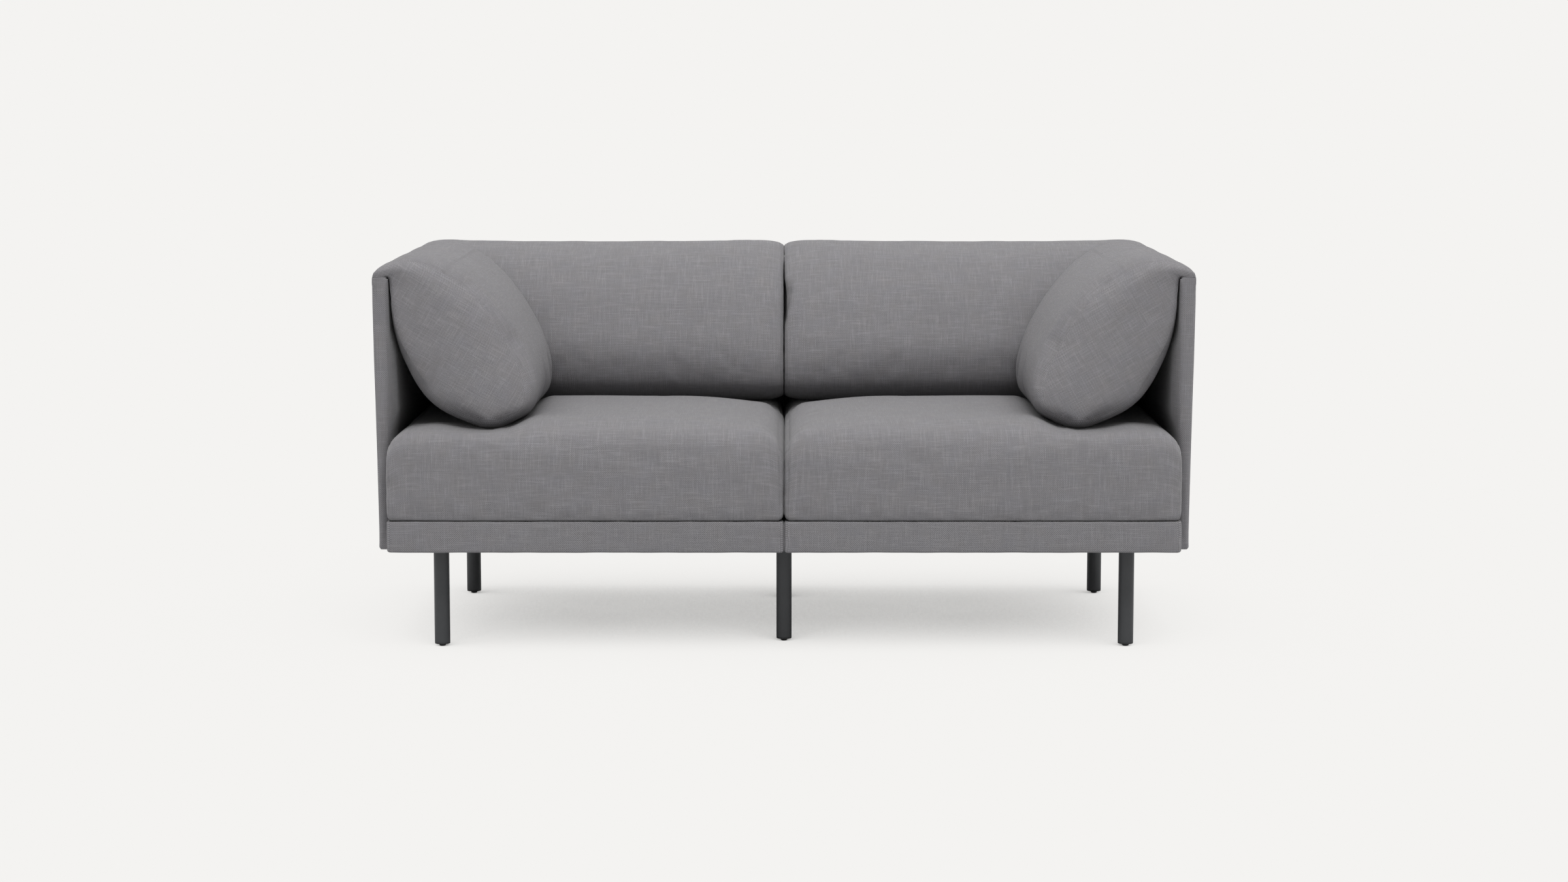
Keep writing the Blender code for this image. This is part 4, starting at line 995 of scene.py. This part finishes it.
def panelCover(low, high, thin, way):
    # thin is the axis across the panel. Its two broad faces swell a little; the seams run round their edges.
    look = panelLook
    points, quads = roundedBlock(low, high, look["round"], look["step"], look["closeStep"], look["topRound"],
                                 look["footRound"])
    low, high = np.array(low), np.array(high)
    middle = (low + high) / 2
    wide = 1 - thin
    share = 1 - np.abs((points[:, wide] - middle[wide]) / (high[wide] - low[wide]) * 2) ** 6
    share = share * (1 - np.abs((points[:, 2] - middle[2]) / (high[2] - low[2]) * 2) ** 6)
    outer = np.sign(points[:, thin] - middle[thin])
    side = (points[:, thin] - middle[thin]) / (high[thin] - low[thin]) * 2
    outward = outer == (way if thin == 0 else 1)
    points[:, thin] += side * look["padding"] * np.where(outward, 1.0, 0.25) * np.clip(share, 0, 1)
    if thin == 0:
        lean = np.interp(points[:, 2], panelLean[:, 0], panelLean[:, 1])
        free = ease((points[:, 2] - look["softLow"]) / 0.06) * (1 - ease((points[:, 2] - look["softHigh"]) / 0.07))
        free = free * ease((points[:, 1] - low[1]) / 0.05) * ease((high[1] - points[:, 1]) / 0.05)  # not at its edges
        fromInner = np.abs(points[:, 0] - (low[0] if way > 0 else high[0]))
        nearTop = ease((points[:, 2] - high[2]) / look["shoulderReach"] + 1)
        points[:, 2] -= look["shoulderDrop"] * (1 - ease(fromInner / 0.005)) * nearTop
        moved = np.abs(side) * np.where(outward, lean, look["innerPadding"] * free)      # its middle stays in place
        points[:, 0] += outer * moved
    wave = ripple(points[:, wide], points[:, 2], [0.18, 0.29, 0.44], 31)
    points[:, thin] += np.where(outward, outer * look["unevenness"], 0) * share * wave
    faces = np.concatenate(list(quads.values()))
    normals = normalsOf(points, faces)
    edge = np.minimum(points - low, high - points)
    edge[:, thin] = 1.0
    fromEdge = edge.min(1)
    sewn = groove(np.abs(side), look["stripSeam"], look["stripSeamWidth"], look["seamDepth"]) * (fromEdge < 0.004)
    sewn += groove(fromEdge, look["seamFromEdge"], look["seamWidth"], look["seamDepth"]) * (np.abs(side) > 0.9)
    points = points + normals * sewn[:, None]
    if thin == 1:
        points = pressedInPlace(points, way, 0.006, 0.0006)
    planes = {thin: [wide, 2], wide: [thin, 2], 2: [0, 1]}
    corners = np.concatenate([points[quads[axis, end]][:, :, planes[axis]] for axis, end in quads])
    return points, faces, corners.reshape(-1, 2) + 1.7 * way


for label, way in sides.items():
    for word, thin in (("arm", 0), ("back", 1)):
        nodeName = f"{word}_{label}_panel_cover"
        shape = panelCover(*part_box(nodeName), thin, way)
        piece = addPiece(f"{word}PanelCover_{label}", "sofa", panelCloth, shape, [nodeName])
print("panel covers made")

# Base covers: a padded sleeve round the rails
baseLook = {
    "wall": 0.006,              # how thick the padded wall is
    "lip": 0.0026,              # how far it turns in over the rails
    "topRound": 0.0022,
    "footRound": 0.004,
    "innerRound": 0.0008,
    "cornerRound": 0.003,       # on the wall's inner side
    "padding": 0.0012,
    "unevenness": 0.0004,
    "step": 0.009,
}


def sleeveRing():
    # The wall's section, outwards from the rails and up: rounded above and below on its outer side, with a short
    # lip over the rails
    look, height = baseLook, baseHigh.z - baseLow.z
    wall, top, foot, small = look["wall"], look["topRound"], look["footRound"], look["innerRound"]
    turn = np.linspace(0, pi / 2, 9)
    parts = [
        np.stack([np.zeros(8), np.linspace(height - look["lip"] / 4, small, 8)], 1),
        np.stack([small - small * np.cos(turn), small - small * np.sin(turn)], 1)[1:],
        np.stack([wall - foot + foot * np.sin(turn), foot - foot * np.cos(turn)], 1),
        np.stack([np.full(14, wall), np.linspace(foot, height - top, 16)[1:-1]], 1),
        np.stack([wall - top + top * np.cos(turn), height - top + top * np.sin(turn)], 1),
        np.array([[-look["lip"], height], [-look["lip"], height - look["lip"] / 4]]),
    ]
    ring = np.concatenate(parts)
    swell = 1 - np.abs(ring[:, 1] / height * 2 - 1) ** 4
    ring[:, 0] += look["padding"] * swell * (ring[:, 0] > wall * 0.9)
    return ring + np.array([0.0, baseLow.z])


def sleeve(low, high, way):     # the weave is laid out by the distance walked round the wall and round its section
    look, ring = baseLook, sleeveRing()
    wall = look["wall"]
    path, outward = roundedPath((low.x + wall, low.y + wall), (high.x - wall, high.y - wall), look["cornerRound"],
                                look["step"])
    points, faces = swept(ring, path, outward)
    laid = []
    for index, line in zip(np.divmod(faces, len(ring)), (path, ring)):
        wraps = (index == 0) & (index.max(1, keepdims=True) == len(line) - 1)
        laid.append(arcLength(np.concatenate([line, line[:1]]))[np.where(wraps, len(line), index)])
    wave = ripple(points[:, 0] + points[:, 1], points[:, 2], [0.07, 0.13, 0.23], 41)
    points = points + normalsOf(points, faces) * (look["unevenness"] * wave)[:, None]
    return pressedInPlace(points, way, 0.012), faces, np.stack(laid, -1).reshape(-1, 2) + 0.9 * way


for label, way in sides.items():
    nodeName = f"base_cover_{label}"
    shape = sleeve(*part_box(nodeName), way)
    piece = addPiece(f"baseCover_{label}", "sofa", panelCloth, shape, [nodeName])
print("base covers made")

stapleLook = {"length": 0.011, "wire": 0.0007, "apart": 0.045, "inset": 0.010, "cornerRound": 0.02}


def stapleBlocks(places, angles, level, way):   # one bar at each place, turned by its angle; way 1 faces up, -1 down
    half, wire = stapleLook["length"] / 2, stapleLook["wire"]
    block = np.array([[x, y, z] for x in (-half, half) for y in (-wire / 2, wire / 2) for z in (-0.3 * wire, wire)])
    turnBy = np.stack([np.cos(angles), -np.sin(angles), np.sin(angles), np.cos(angles)], 1).reshape(-1, 2, 2)
    flat = np.einsum("nij,kj->nki", turnBy, block[:, :2]) + places[:, None, :]
    up = np.repeat(block[None, :, 2:], len(places), 0) * way + level
    points = np.concatenate([flat, up], -1).reshape(-1, 3)
    cube = np.array([[0, 1, 3, 2], [4, 6, 7, 5], [0, 4, 5, 1], [2, 3, 7, 6], [0, 2, 6, 4], [1, 5, 7, 3]])[:, ::way]
    return points, (cube[None] + np.arange(len(places))[:, None, None] * 8).reshape(-1, 4)


# Webbing: straps woven over and under each other, stapled to the rails
webLook = {
    "windows": 5,               # open squares along each side; there is a strap between every two
    "width": 0.065,
    "thickness": 0.0007,
    "wave": 0.00037,            # how far a strap rises over the next and sinks under it, and how flat that is
    "flatness": 1.7,
    "rail": 0.022,
    "rim": 0.0015,              # how thin its edges run out
    "held": 0.003,              # from the cover's inner wall to a strap's end
}


def strap(start, finish, height, phase):
    # A flat band with thin rims. Its height follows a wave cut flat at its tops, which stand where it crosses
    # others, so that it lies over one and under the next, and levels out on the rails.
    look, start, finish = webLook, np.array(start), np.array(finish)
    full = np.linalg.norm(finish - start)
    direction = (finish - start) / full
    aside = np.array([-direction[1], direction[0]])
    long = np.linspace(0, 1, 121)
    line = start + (finish - start) * long[:, None]
    onRail = (look["rail"] - look["held"]) / full
    turns = (long - onRail) / (1 - 2 * onRail) * look["windows"]
    swing = np.clip(look["flatness"] * np.cos(phase + turns * pi), -1, 1) * ease((0.5 - abs(long - 0.5)) / 0.05)
    half, thick, edge = look["width"] / 2, look["thickness"] / 2, look["width"] / 2 - look["rim"]
    section = np.array([[-edge, -thick], [edge, -thick], [half, -thick / 3], [half, thick / 3], [edge, thick],
                        [-edge, thick], [-half, thick / 3], [-half, -thick / 3]])
    flat = line[:, None, :] + section[None, :, :1] * aside
    up = (height + look["wave"] * swing)[:, None, None] + section[None, :, 1:]
    points = np.concatenate([flat, up], -1).reshape(-1, 3)
    cap = np.array([[0, 1, 4, 5], [1, 2, 3, 4], [5, 6, 7, 0]])
    ends = np.concatenate([cap, cap[:, ::-1] + len(points) - len(section)])
    faces = outwards(points, np.concatenate([ringQuads(len(long), len(section), False), ends]))
    walked = np.stack([np.repeat(long * full, len(section)), np.tile(arcLength(section), len(long))], 1)
    return points, faces, walked[faces].reshape(-1, 2)


for label, way in sides.items():
    low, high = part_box(f"seat_webbing_{label}")
    rail, windows, held = webLook["rail"], webLook["windows"], webLook["held"]
    stepX, stepY = (high.x - low.x - 2 * rail) / windows, (high.y - low.y - 2 * rail) / windows
    level = (low.z + high.z) / 2
    straps = []
    for n in range(1, windows):
        x, y, odd = low.x + rail + n * stepX, low.y + rail + n * stepY, pi * (n % 2)
        straps.append(strap((x, low.y + held), (x, high.y - held), level, odd))
        straps.append(strap((low.x + held, y), (high.x - held, y), level, odd + pi))
    points, faces, corners = zip(*straps)
    faces = [some + n * len(points[0]) for n, some in enumerate(faces)]
    shape = np.concatenate(points), np.concatenate(faces), np.concatenate(corners)
    addPiece(f"seatWebbing_{label}", "sofa", elasticWeb, shape, [f"seat_webbing_{label}"])
    spread = (np.arange(1, windows)[:, None] + np.array([-0.15, 0.0, 0.15])).ravel()    # three staples at each end
    alongX, alongY = np.tile(low.x + rail + spread * stepX, 2), np.tile(low.y + rail + spread * stepY, 2)
    sideX, sideY = (np.repeat([low[n] + rail / 2, high[n] - rail / 2], len(spread)) for n in (0, 1))
    places = np.concatenate([np.stack([sideX, alongY], 1), np.stack([alongX, sideY], 1)])
    angles = np.repeat([pi / 2, 0.0], len(sideX)) + np.random.default_rng(9).normal(0, 0.07, len(places))
    shape = stapleBlocks(places, angles, level + webLook["thickness"] / 2, 1)
    addPiece(f"webStaples_{label}", "sofa", zincPlate, shape, smooth=False)
print("webbing made")

# Dust covers: thin lining under each base, a little uneven, with its hem folded in
liningLook = {"hem": 0.018, "thickness": 0.0005, "step": 0.012, "wave": 0.00012, "lift": 0.0002}
for label, way in sides.items():
    low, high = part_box(f"dust_cover_{label}")
    look, foot = liningLook, low.z + liningLook["lift"]
    across, deep = (np.linspace(low[n], high[n], int((high[n] - low[n]) / look["step"])) for n in (0, 1))
    points, quads = shellGrid(across, deep, np.array([foot, foot + look["thickness"]]))[:2]
    edge = np.minimum(points[:, :2] - low[:2], high[:2] - points[:, :2]).min(1)
    points[:, 2] += look["wave"] * ripple(points[:, 0], points[:, 1], [0.05, 0.09, 0.16], 51)
    points[:, 2] += groove(edge, look["hem"], 0.004, -0.0001)
    shape = points, outwards(points, np.concatenate(list(quads.values())))
    piece = addPiece(f"dustCover_{label}", "sofa", liningFelt, shape, [f"dust_cover_{label}"])

# Staples round each dust cover
for label, way in sides.items():
    low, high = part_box(f"dust_cover_{label}")
    look, inset = stapleLook, stapleLook["inset"]
    path, outward = roundedPath((low.x + inset, low.y + inset), (high.x - inset, high.y - inset),
                                look["cornerRound"], look["apart"])
    angles = np.arctan2(outward[:, 1], outward[:, 0]) + pi / 2 + np.random.default_rng(7).normal(0, 0.09, len(path))
    addPiece(f"dustStaples_{label}", "sofa", zincPlate, stapleBlocks(path, angles, low.z, -1),
             smooth=False)
print("dust covers made")

# Legs: a tube with a small chamfer at its foot, welded under a plate with round corners
legLook = {"radius": 0.016, "wall": 0.002, "plate": 0.004, "plateRim": 0.0006, "weld": 0.0035, "steps": 48,
           "cornerRound": 0.006, "holeEdge": 0.013}


def plateWithCorners(low, high):
    # A flat plate: its outline is a rectangle with round corners, its rim a little rounded
    path, outward = roundedPath(low[:2], high[:2], legLook["cornerRound"], 0.02)
    soft = legLook["plateRim"]
    rows = [(-soft * 8, low[2]), (-soft, low[2]), (0.0, low[2] + soft), (0.0, high[2] - soft), (-soft, high[2]),
            (-soft * 8, high[2])]
    points = np.concatenate([np.column_stack([path + outward * out, np.full(len(path), z)]) for out, z in rows])
    rims = ringQuads(len(rows), len(path), False)[:, ::-1].tolist()
    underside = np.arange(len(path))
    return points, rims + [underside[::-1].tolist(), (underside + len(points) - len(path)).tolist()]


for spot in spots:
    low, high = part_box(f"leg_{spot}")
    centre = middleOf(low, high)
    look = legLook
    under, radius, inner, weld = high.z - look["plate"], look["radius"], look["radius"] - look["wall"], look["weld"]
    sunk, deep = under + 0.0002, under - 0.003      # the tube goes into its plate, and its bore ends below that
    tube = [(radius + weld * (1 - sin(t)), sunk - weld * (1 - cos(t))) for t in np.linspace(0, pi / 2, 7)]
    tube += [(radius, z) for z in np.linspace(under - 0.012, low.z + 0.004, 12)]
    tube += [(radius, low.z + 0.0008), (radius - 0.0005, low.z), (inner + 0.0003, low.z), (inner, low.z + 0.0006)]
    shank = turned([(0.0, sunk)] + tube + [(inner, deep), (0.0, deep)], centre, look["steps"])
    shape = joined([shank, plateWithCorners((low.x, low.y, under), high)])
    piece = addPiece(f"steelLeg_{spot}", "sofa", powderCoat, shape, [f"leg_{spot}"])
    piece.modifiers.new("evenShading", "WEIGHTED_NORMAL").keep_sharp = True
print("legs made")

# End plugs and glides
plugLook = {"hole": 0.0043, "stem": 0.0137, "flange": 0.016, "flangeHeight": 0.0018, "steps": 48}
glideLook = {"flat": 0.0045, "top": 0.0049, "core": 0.0035, "thread": 0.004, "pitch": 0.00125, "steps": 32}
for spot in spots:
    low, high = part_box(f"end_plug_{spot}")
    centre = middleOf(low, high)
    look = plugLook
    hole, stem, flange, rise = look["hole"], look["stem"], look["flange"], look["flangeHeight"]
    profile = [(flange - 0.0005, low.z), (flange, low.z + 0.0005), (flange, low.z + rise - 0.0006),
               (flange - 0.0002, low.z + rise - 0.0002), (stem, low.z + rise), (stem, high.z), (hole, high.z),
               (hole, low.z + 0.0004), (hole + 0.0004, low.z)]
    addPiece(f"footPlug_{spot}", "sofa", blackNylon, turned(profile, centre, look["steps"], True),
             [f"end_plug_{spot}"])
    low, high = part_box(f"glide_{spot}")
    look = glideLook
    pad, flat, top, core, thread = (high.x - low.x) / 2, look["flat"], look["top"], look["core"], look["thread"]
    turns = np.arange(top + 0.0006, high.z - 0.001, look["pitch"])
    screw = [(r, z + dz) for z in turns[::-1] for r, dz in ((core, 0.0009), (thread, 0.00045), (core, 0.0))]
    edge = pad - flat
    foot = [(flat + edge * cos(t), edge * (1 - sin(t))) for t in np.linspace(0, pi / 2, 9)]
    profile = [(0.0, high.z), (core - 0.0001, high.z)] + screw + [(thread, top), (pad - 0.0004, top),
                                                                  (pad, top - 0.0004)] + foot[1:] + [(0.0, 0.0)]
    addPiece(f"footGlide_{spot}", f"{spot}_glide", blackNylon, turned(profile, centre, look["steps"]),
             [f"glide_{spot}"])
print("feet made")

# Brackets: bent steel strip, its foot screwed up under the base
bracketLook = {"width": 0.04, "foot": 0.085, "strip": 0.003, "bend": 0.004, "softness": 0.0005,
               "screws": (0.025, 0.062)}
screwLook = {"radius": 0.0045, "height": 0.0021, "rim": 0.0005, "steps": 20,
             "crossWidth": 0.24, "crossReach": 0.62, "crossDepth": 0.45}     # as shares of its radius and height


def screwHead(centre, under):
    # A low domed head that hangs from the surface above it, with a cross cut into it
    look = screwLook
    radius, height, rim = look["radius"], look["height"], look["rim"]
    dome = [(radius * cos(t), under - rim - (height - rim) * sin(t)) for t in np.linspace(0, pi / 2, 6)[:-1]]
    points, faces = turned([(0.0, under + rim), (radius, under + rim)] + dome + [(0.0, under - height)], centre,
                           look["steps"])
    off = np.abs(points[:, :2] - np.array(centre)) / radius
    inside = (off < look["crossWidth"]).any(1) & (np.hypot(*off.T) < look["crossReach"]) & (points[:, 2] < under)
    points[inside, 2] += height * look["crossDepth"]
    return points, faces


def bentStrip(corner, inward, along, upright):
    # An L of strip: the outline goes along the foot, round the bend and up, and is drawn out to its width
    bend, strip, foot = bracketLook["bend"], bracketLook["strip"], bracketLook["foot"]
    turn = np.linspace(0, pi / 2, 7)
    outer = [(bend * (1 - sin(t)), bend * (1 - cos(t))) for t in turn]
    inner = [(strip + (bend - strip) * (1 - sin(t)), strip + (bend - strip) * (1 - cos(t))) for t in turn[::-1]]
    outline = np.array([(foot, 0.0)] + outer + [(0.0, upright), (strip, upright)] + inner + [(foot, strip)])
    middle = np.array(corner) + outline[:, :1] * np.array([*inward, 0.0]) + outline[:, 1:] * np.array([0.0, 0.0, 1.0])
    half = bracketLook["width"] / 2 * np.array([*along, 0.0])
    rows = [middle - half, middle + half]
    count = len(outline)
    here, there = np.arange(count), np.arange(count) + count
    quads = np.stack([here, np.roll(here, -1), np.roll(there, -1), there], 1).tolist()
    caps = [[n, n + 1, count - 2 - n, count - 1 - n] for n in range(count // 2 - 1)]
    caps += [[index + count for index in face] for face in caps]
    return np.concatenate(rows), quads + caps


def facedOutwards(mesh):        # turns the faces of small closed forms so that each points outwards
    shape = bmesh.new()
    shape.from_mesh(mesh)
    bmesh.ops.remove_doubles(shape, verts=shape.verts, dist=1e-6)
    bmesh.ops.recalc_face_normals(shape, faces=shape.faces)
    shape.to_mesh(mesh)
    shape.free()


screws = []
for label, way in sides.items():
    for kind, place, inward, along in (("arm", "front", (-way, 0), (0, 1)), ("arm", "rear", (-way, 0), (0, 1)),
                                       ("back", "inner", (0, -1), (1, 0)), ("back", "outer", (0, -1), (1, 0))):
        nodeName = f"{kind}_bracket_{place}_{label}"
        low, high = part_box(nodeName)
        x, y = middleOf(low, high)
        corner = (high.x if way > 0 else low.x, y, low.z) if kind == "arm" else (x, high.y, low.z)
        piece = addPiece(f"{kind}Bracket_{place}_{label}", "sofa", zincPlate,
                         bentStrip(corner, inward, along, high.z - low.z), [nodeName], smooth=False)
        facedOutwards(piece.data)
        softened = piece.modifiers.new("softened", "BEVEL")
        softened.width, softened.segments, softened.limit_method = bracketLook["softness"], 2, "ANGLE"
        for reach in bracketLook["screws"]:
            screws.append(screwHead((corner[0] + inward[0] * reach, corner[1] + inward[1] * reach), low.z))
for spot in spots:
    low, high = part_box(f"leg_{spot}")
    for x in (low.x + legLook["holeEdge"], high.x - legLook["holeEdge"]):
        for y in (low.y + legLook["holeEdge"], high.y - legLook["holeEdge"]):
            screws.append(screwHead((x, y), high.z - legLook["plate"]))
facedOutwards(addPiece("frameScrews", "sofa", zincPlate, joined(screws)).data)
print("brackets and screws made")

# The frame's own wood
for name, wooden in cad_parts.items():
    if "rail" in name or "plank" in name or name.endswith("_board"):
        for place in wooden.material_slots:
            place.material = boardWood if name.endswith("_board") else railWood

# Floor, light and camera
studioLook = {
    "paper": (0.905, 0.896, 0.880),     # floor and background, as the camera sees them
    "ambient": 0.60,
    "bounce": 0.60,                     # the floor's own paleness, as the sofa sees it
    "keyStrength": 1.35, "keyHeight": 64, "keyTurn": 4, "keySize": 36,
    "sideStrength": 0.28, "sideHeight": 52, "sideTurn": 27, "sideSize": 7,
    "topStrength": 0.5, "topHeight": 88, "topTurn": 0, "topSize": 70,
    "litShare": 0.05,                   # how much of the floor shows the lamps' own shadows
    # the painted contact shadow under the sofa: how dark it is, how far it reaches, how fast it fades, how far it
    # leans to the front
    "contactDepth": 1.36, "contactReach": 0.5, "contactFall": 4.0, "contactTilt": 0.62,
    "floorReach": 60.0,
}


def sun(word):                  # gives how much light it brings to a level floor
    # It shines from a height above the level, turned to the right of straight in front
    strength, height, turn, size = (studioLook[word + value] for value in ("Strength", "Height", "Turn", "Size"))
    lamp = bpy.data.lights.new(f"{word}Light", "SUN")
    lamp.energy, lamp.angle = strength, radians(size)
    up, way = radians(height), radians(turn)
    source = Vector((cos(up) * sin(way), -cos(up) * cos(way), sin(up)))
    placed(f"{word}Light", lamp).rotation_euler = source.to_track_quat("Z", "Y").to_euler()
    return sin(up) * strength / pi


look = studioLook
level = look["ambient"] + sum(sun(word) for word in ("key", "side", "top"))

world = bpy.data.worlds.new("studio")
bpy.context.scene.world = world
world.use_nodes = True
tree = world.node_tree
tree.nodes.clear()
seen = node(tree, "ShaderNodeLightPath").outputs
direct = sums(tree, "MAXIMUM", sums(tree, "MAXIMUM", seen["Is Camera Ray"], seen["Is Glossy Ray"]),
              seen["Is Transmission Ray"])
plain = node(tree, "ShaderNodeBackground", None, Color=(1, 1, 1, 1), Strength=look["ambient"]).outputs[0]
paper = node(tree, "ShaderNodeBackground", None, Color=(*look["paper"], 1), Strength=1.0).outputs[0]
both = node(tree, "ShaderNodeMixShader", None, in0=direct, in1=plain, in2=paper).outputs[0]
tree.links.new(both, node(tree, "ShaderNodeOutputWorld").inputs["Surface"])

# The floor: the camera sees the paper's colour, darker close under the sofa as a painted contact shadow, with a share
# of the lamps' own shadows
material, tree, shader = newMaterial("paleFloor", Roughness=1.0, Specular_IOR_Level=0.0)
seen = node(tree, "ShaderNodeLightPath").outputs["Is Camera Ray"]
bounced = (look["bounce"],) * 3 + (1,)
lit = tuple(c / level for c in look["paper"]) + (1,)
tree.links.new(mixColours(tree, seen, bounced, lit), shader.inputs["Base Color"])
# Painted contact shadow: ambient occlusion darkens the paper colour that the camera sees
tilted = node(tree, "ShaderNodeCombineXYZ", None, X=0.0, Y=-look["contactTilt"], Z=1.0).outputs[0]
clear = node(tree, "ShaderNodeAmbientOcclusion", {"samples": 12}, Distance=look["contactReach"],
             Normal=onVector(tree, "NORMALIZE", tilted)).outputs["AO"]
paintedShade = sums(tree, "POWER", sums(tree, "SUBTRACT", 1.0, clear), look["contactFall"])
paper = mixColours(tree, sums(tree, "MULTIPLY", paintedShade, look["contactDepth"]), (*look["paper"], 1), (0, 0, 0, 1))
glow = node(tree, "ShaderNodeEmission", None, Color=paper, Strength=1.0).outputs[0]
share = sums(tree, "MULTIPLY", seen, 1 - look["litShare"])
mixed = node(tree, "ShaderNodeMixShader", None, in0=share, in1=shader.outputs[0], in2=glow).outputs[0]
tree.links.new(mixed, tree.nodes["Material Output"].inputs["Surface"])
far = look["floorReach"]
sheet = [(-far, -far, 0), (far, -far, 0), (far, far, 0), (-far, far, 0)]
floor = placed("floor", putMesh("floor", sheet, [[0, 1, 2, 3]], smooth=False))
floor.data.materials.append(material)

cameraLook = {"place": (0.0, -6.576, 1.176), "tilt": 6.84, "lens": 70, "sensor": 36}
lens = bpy.data.cameras.new("camera")
lens.lens, lens.sensor_width = cameraLook["lens"], cameraLook["sensor"]
camera = placed("camera", lens)
camera.location = cameraLook["place"]
camera.rotation_euler = (radians(90 - cameraLook["tilt"]), 0, 0)
bpy.context.scene.camera = camera
bpy.context.scene.view_settings.view_transform = "Standard"
print("floor, light and camera set")
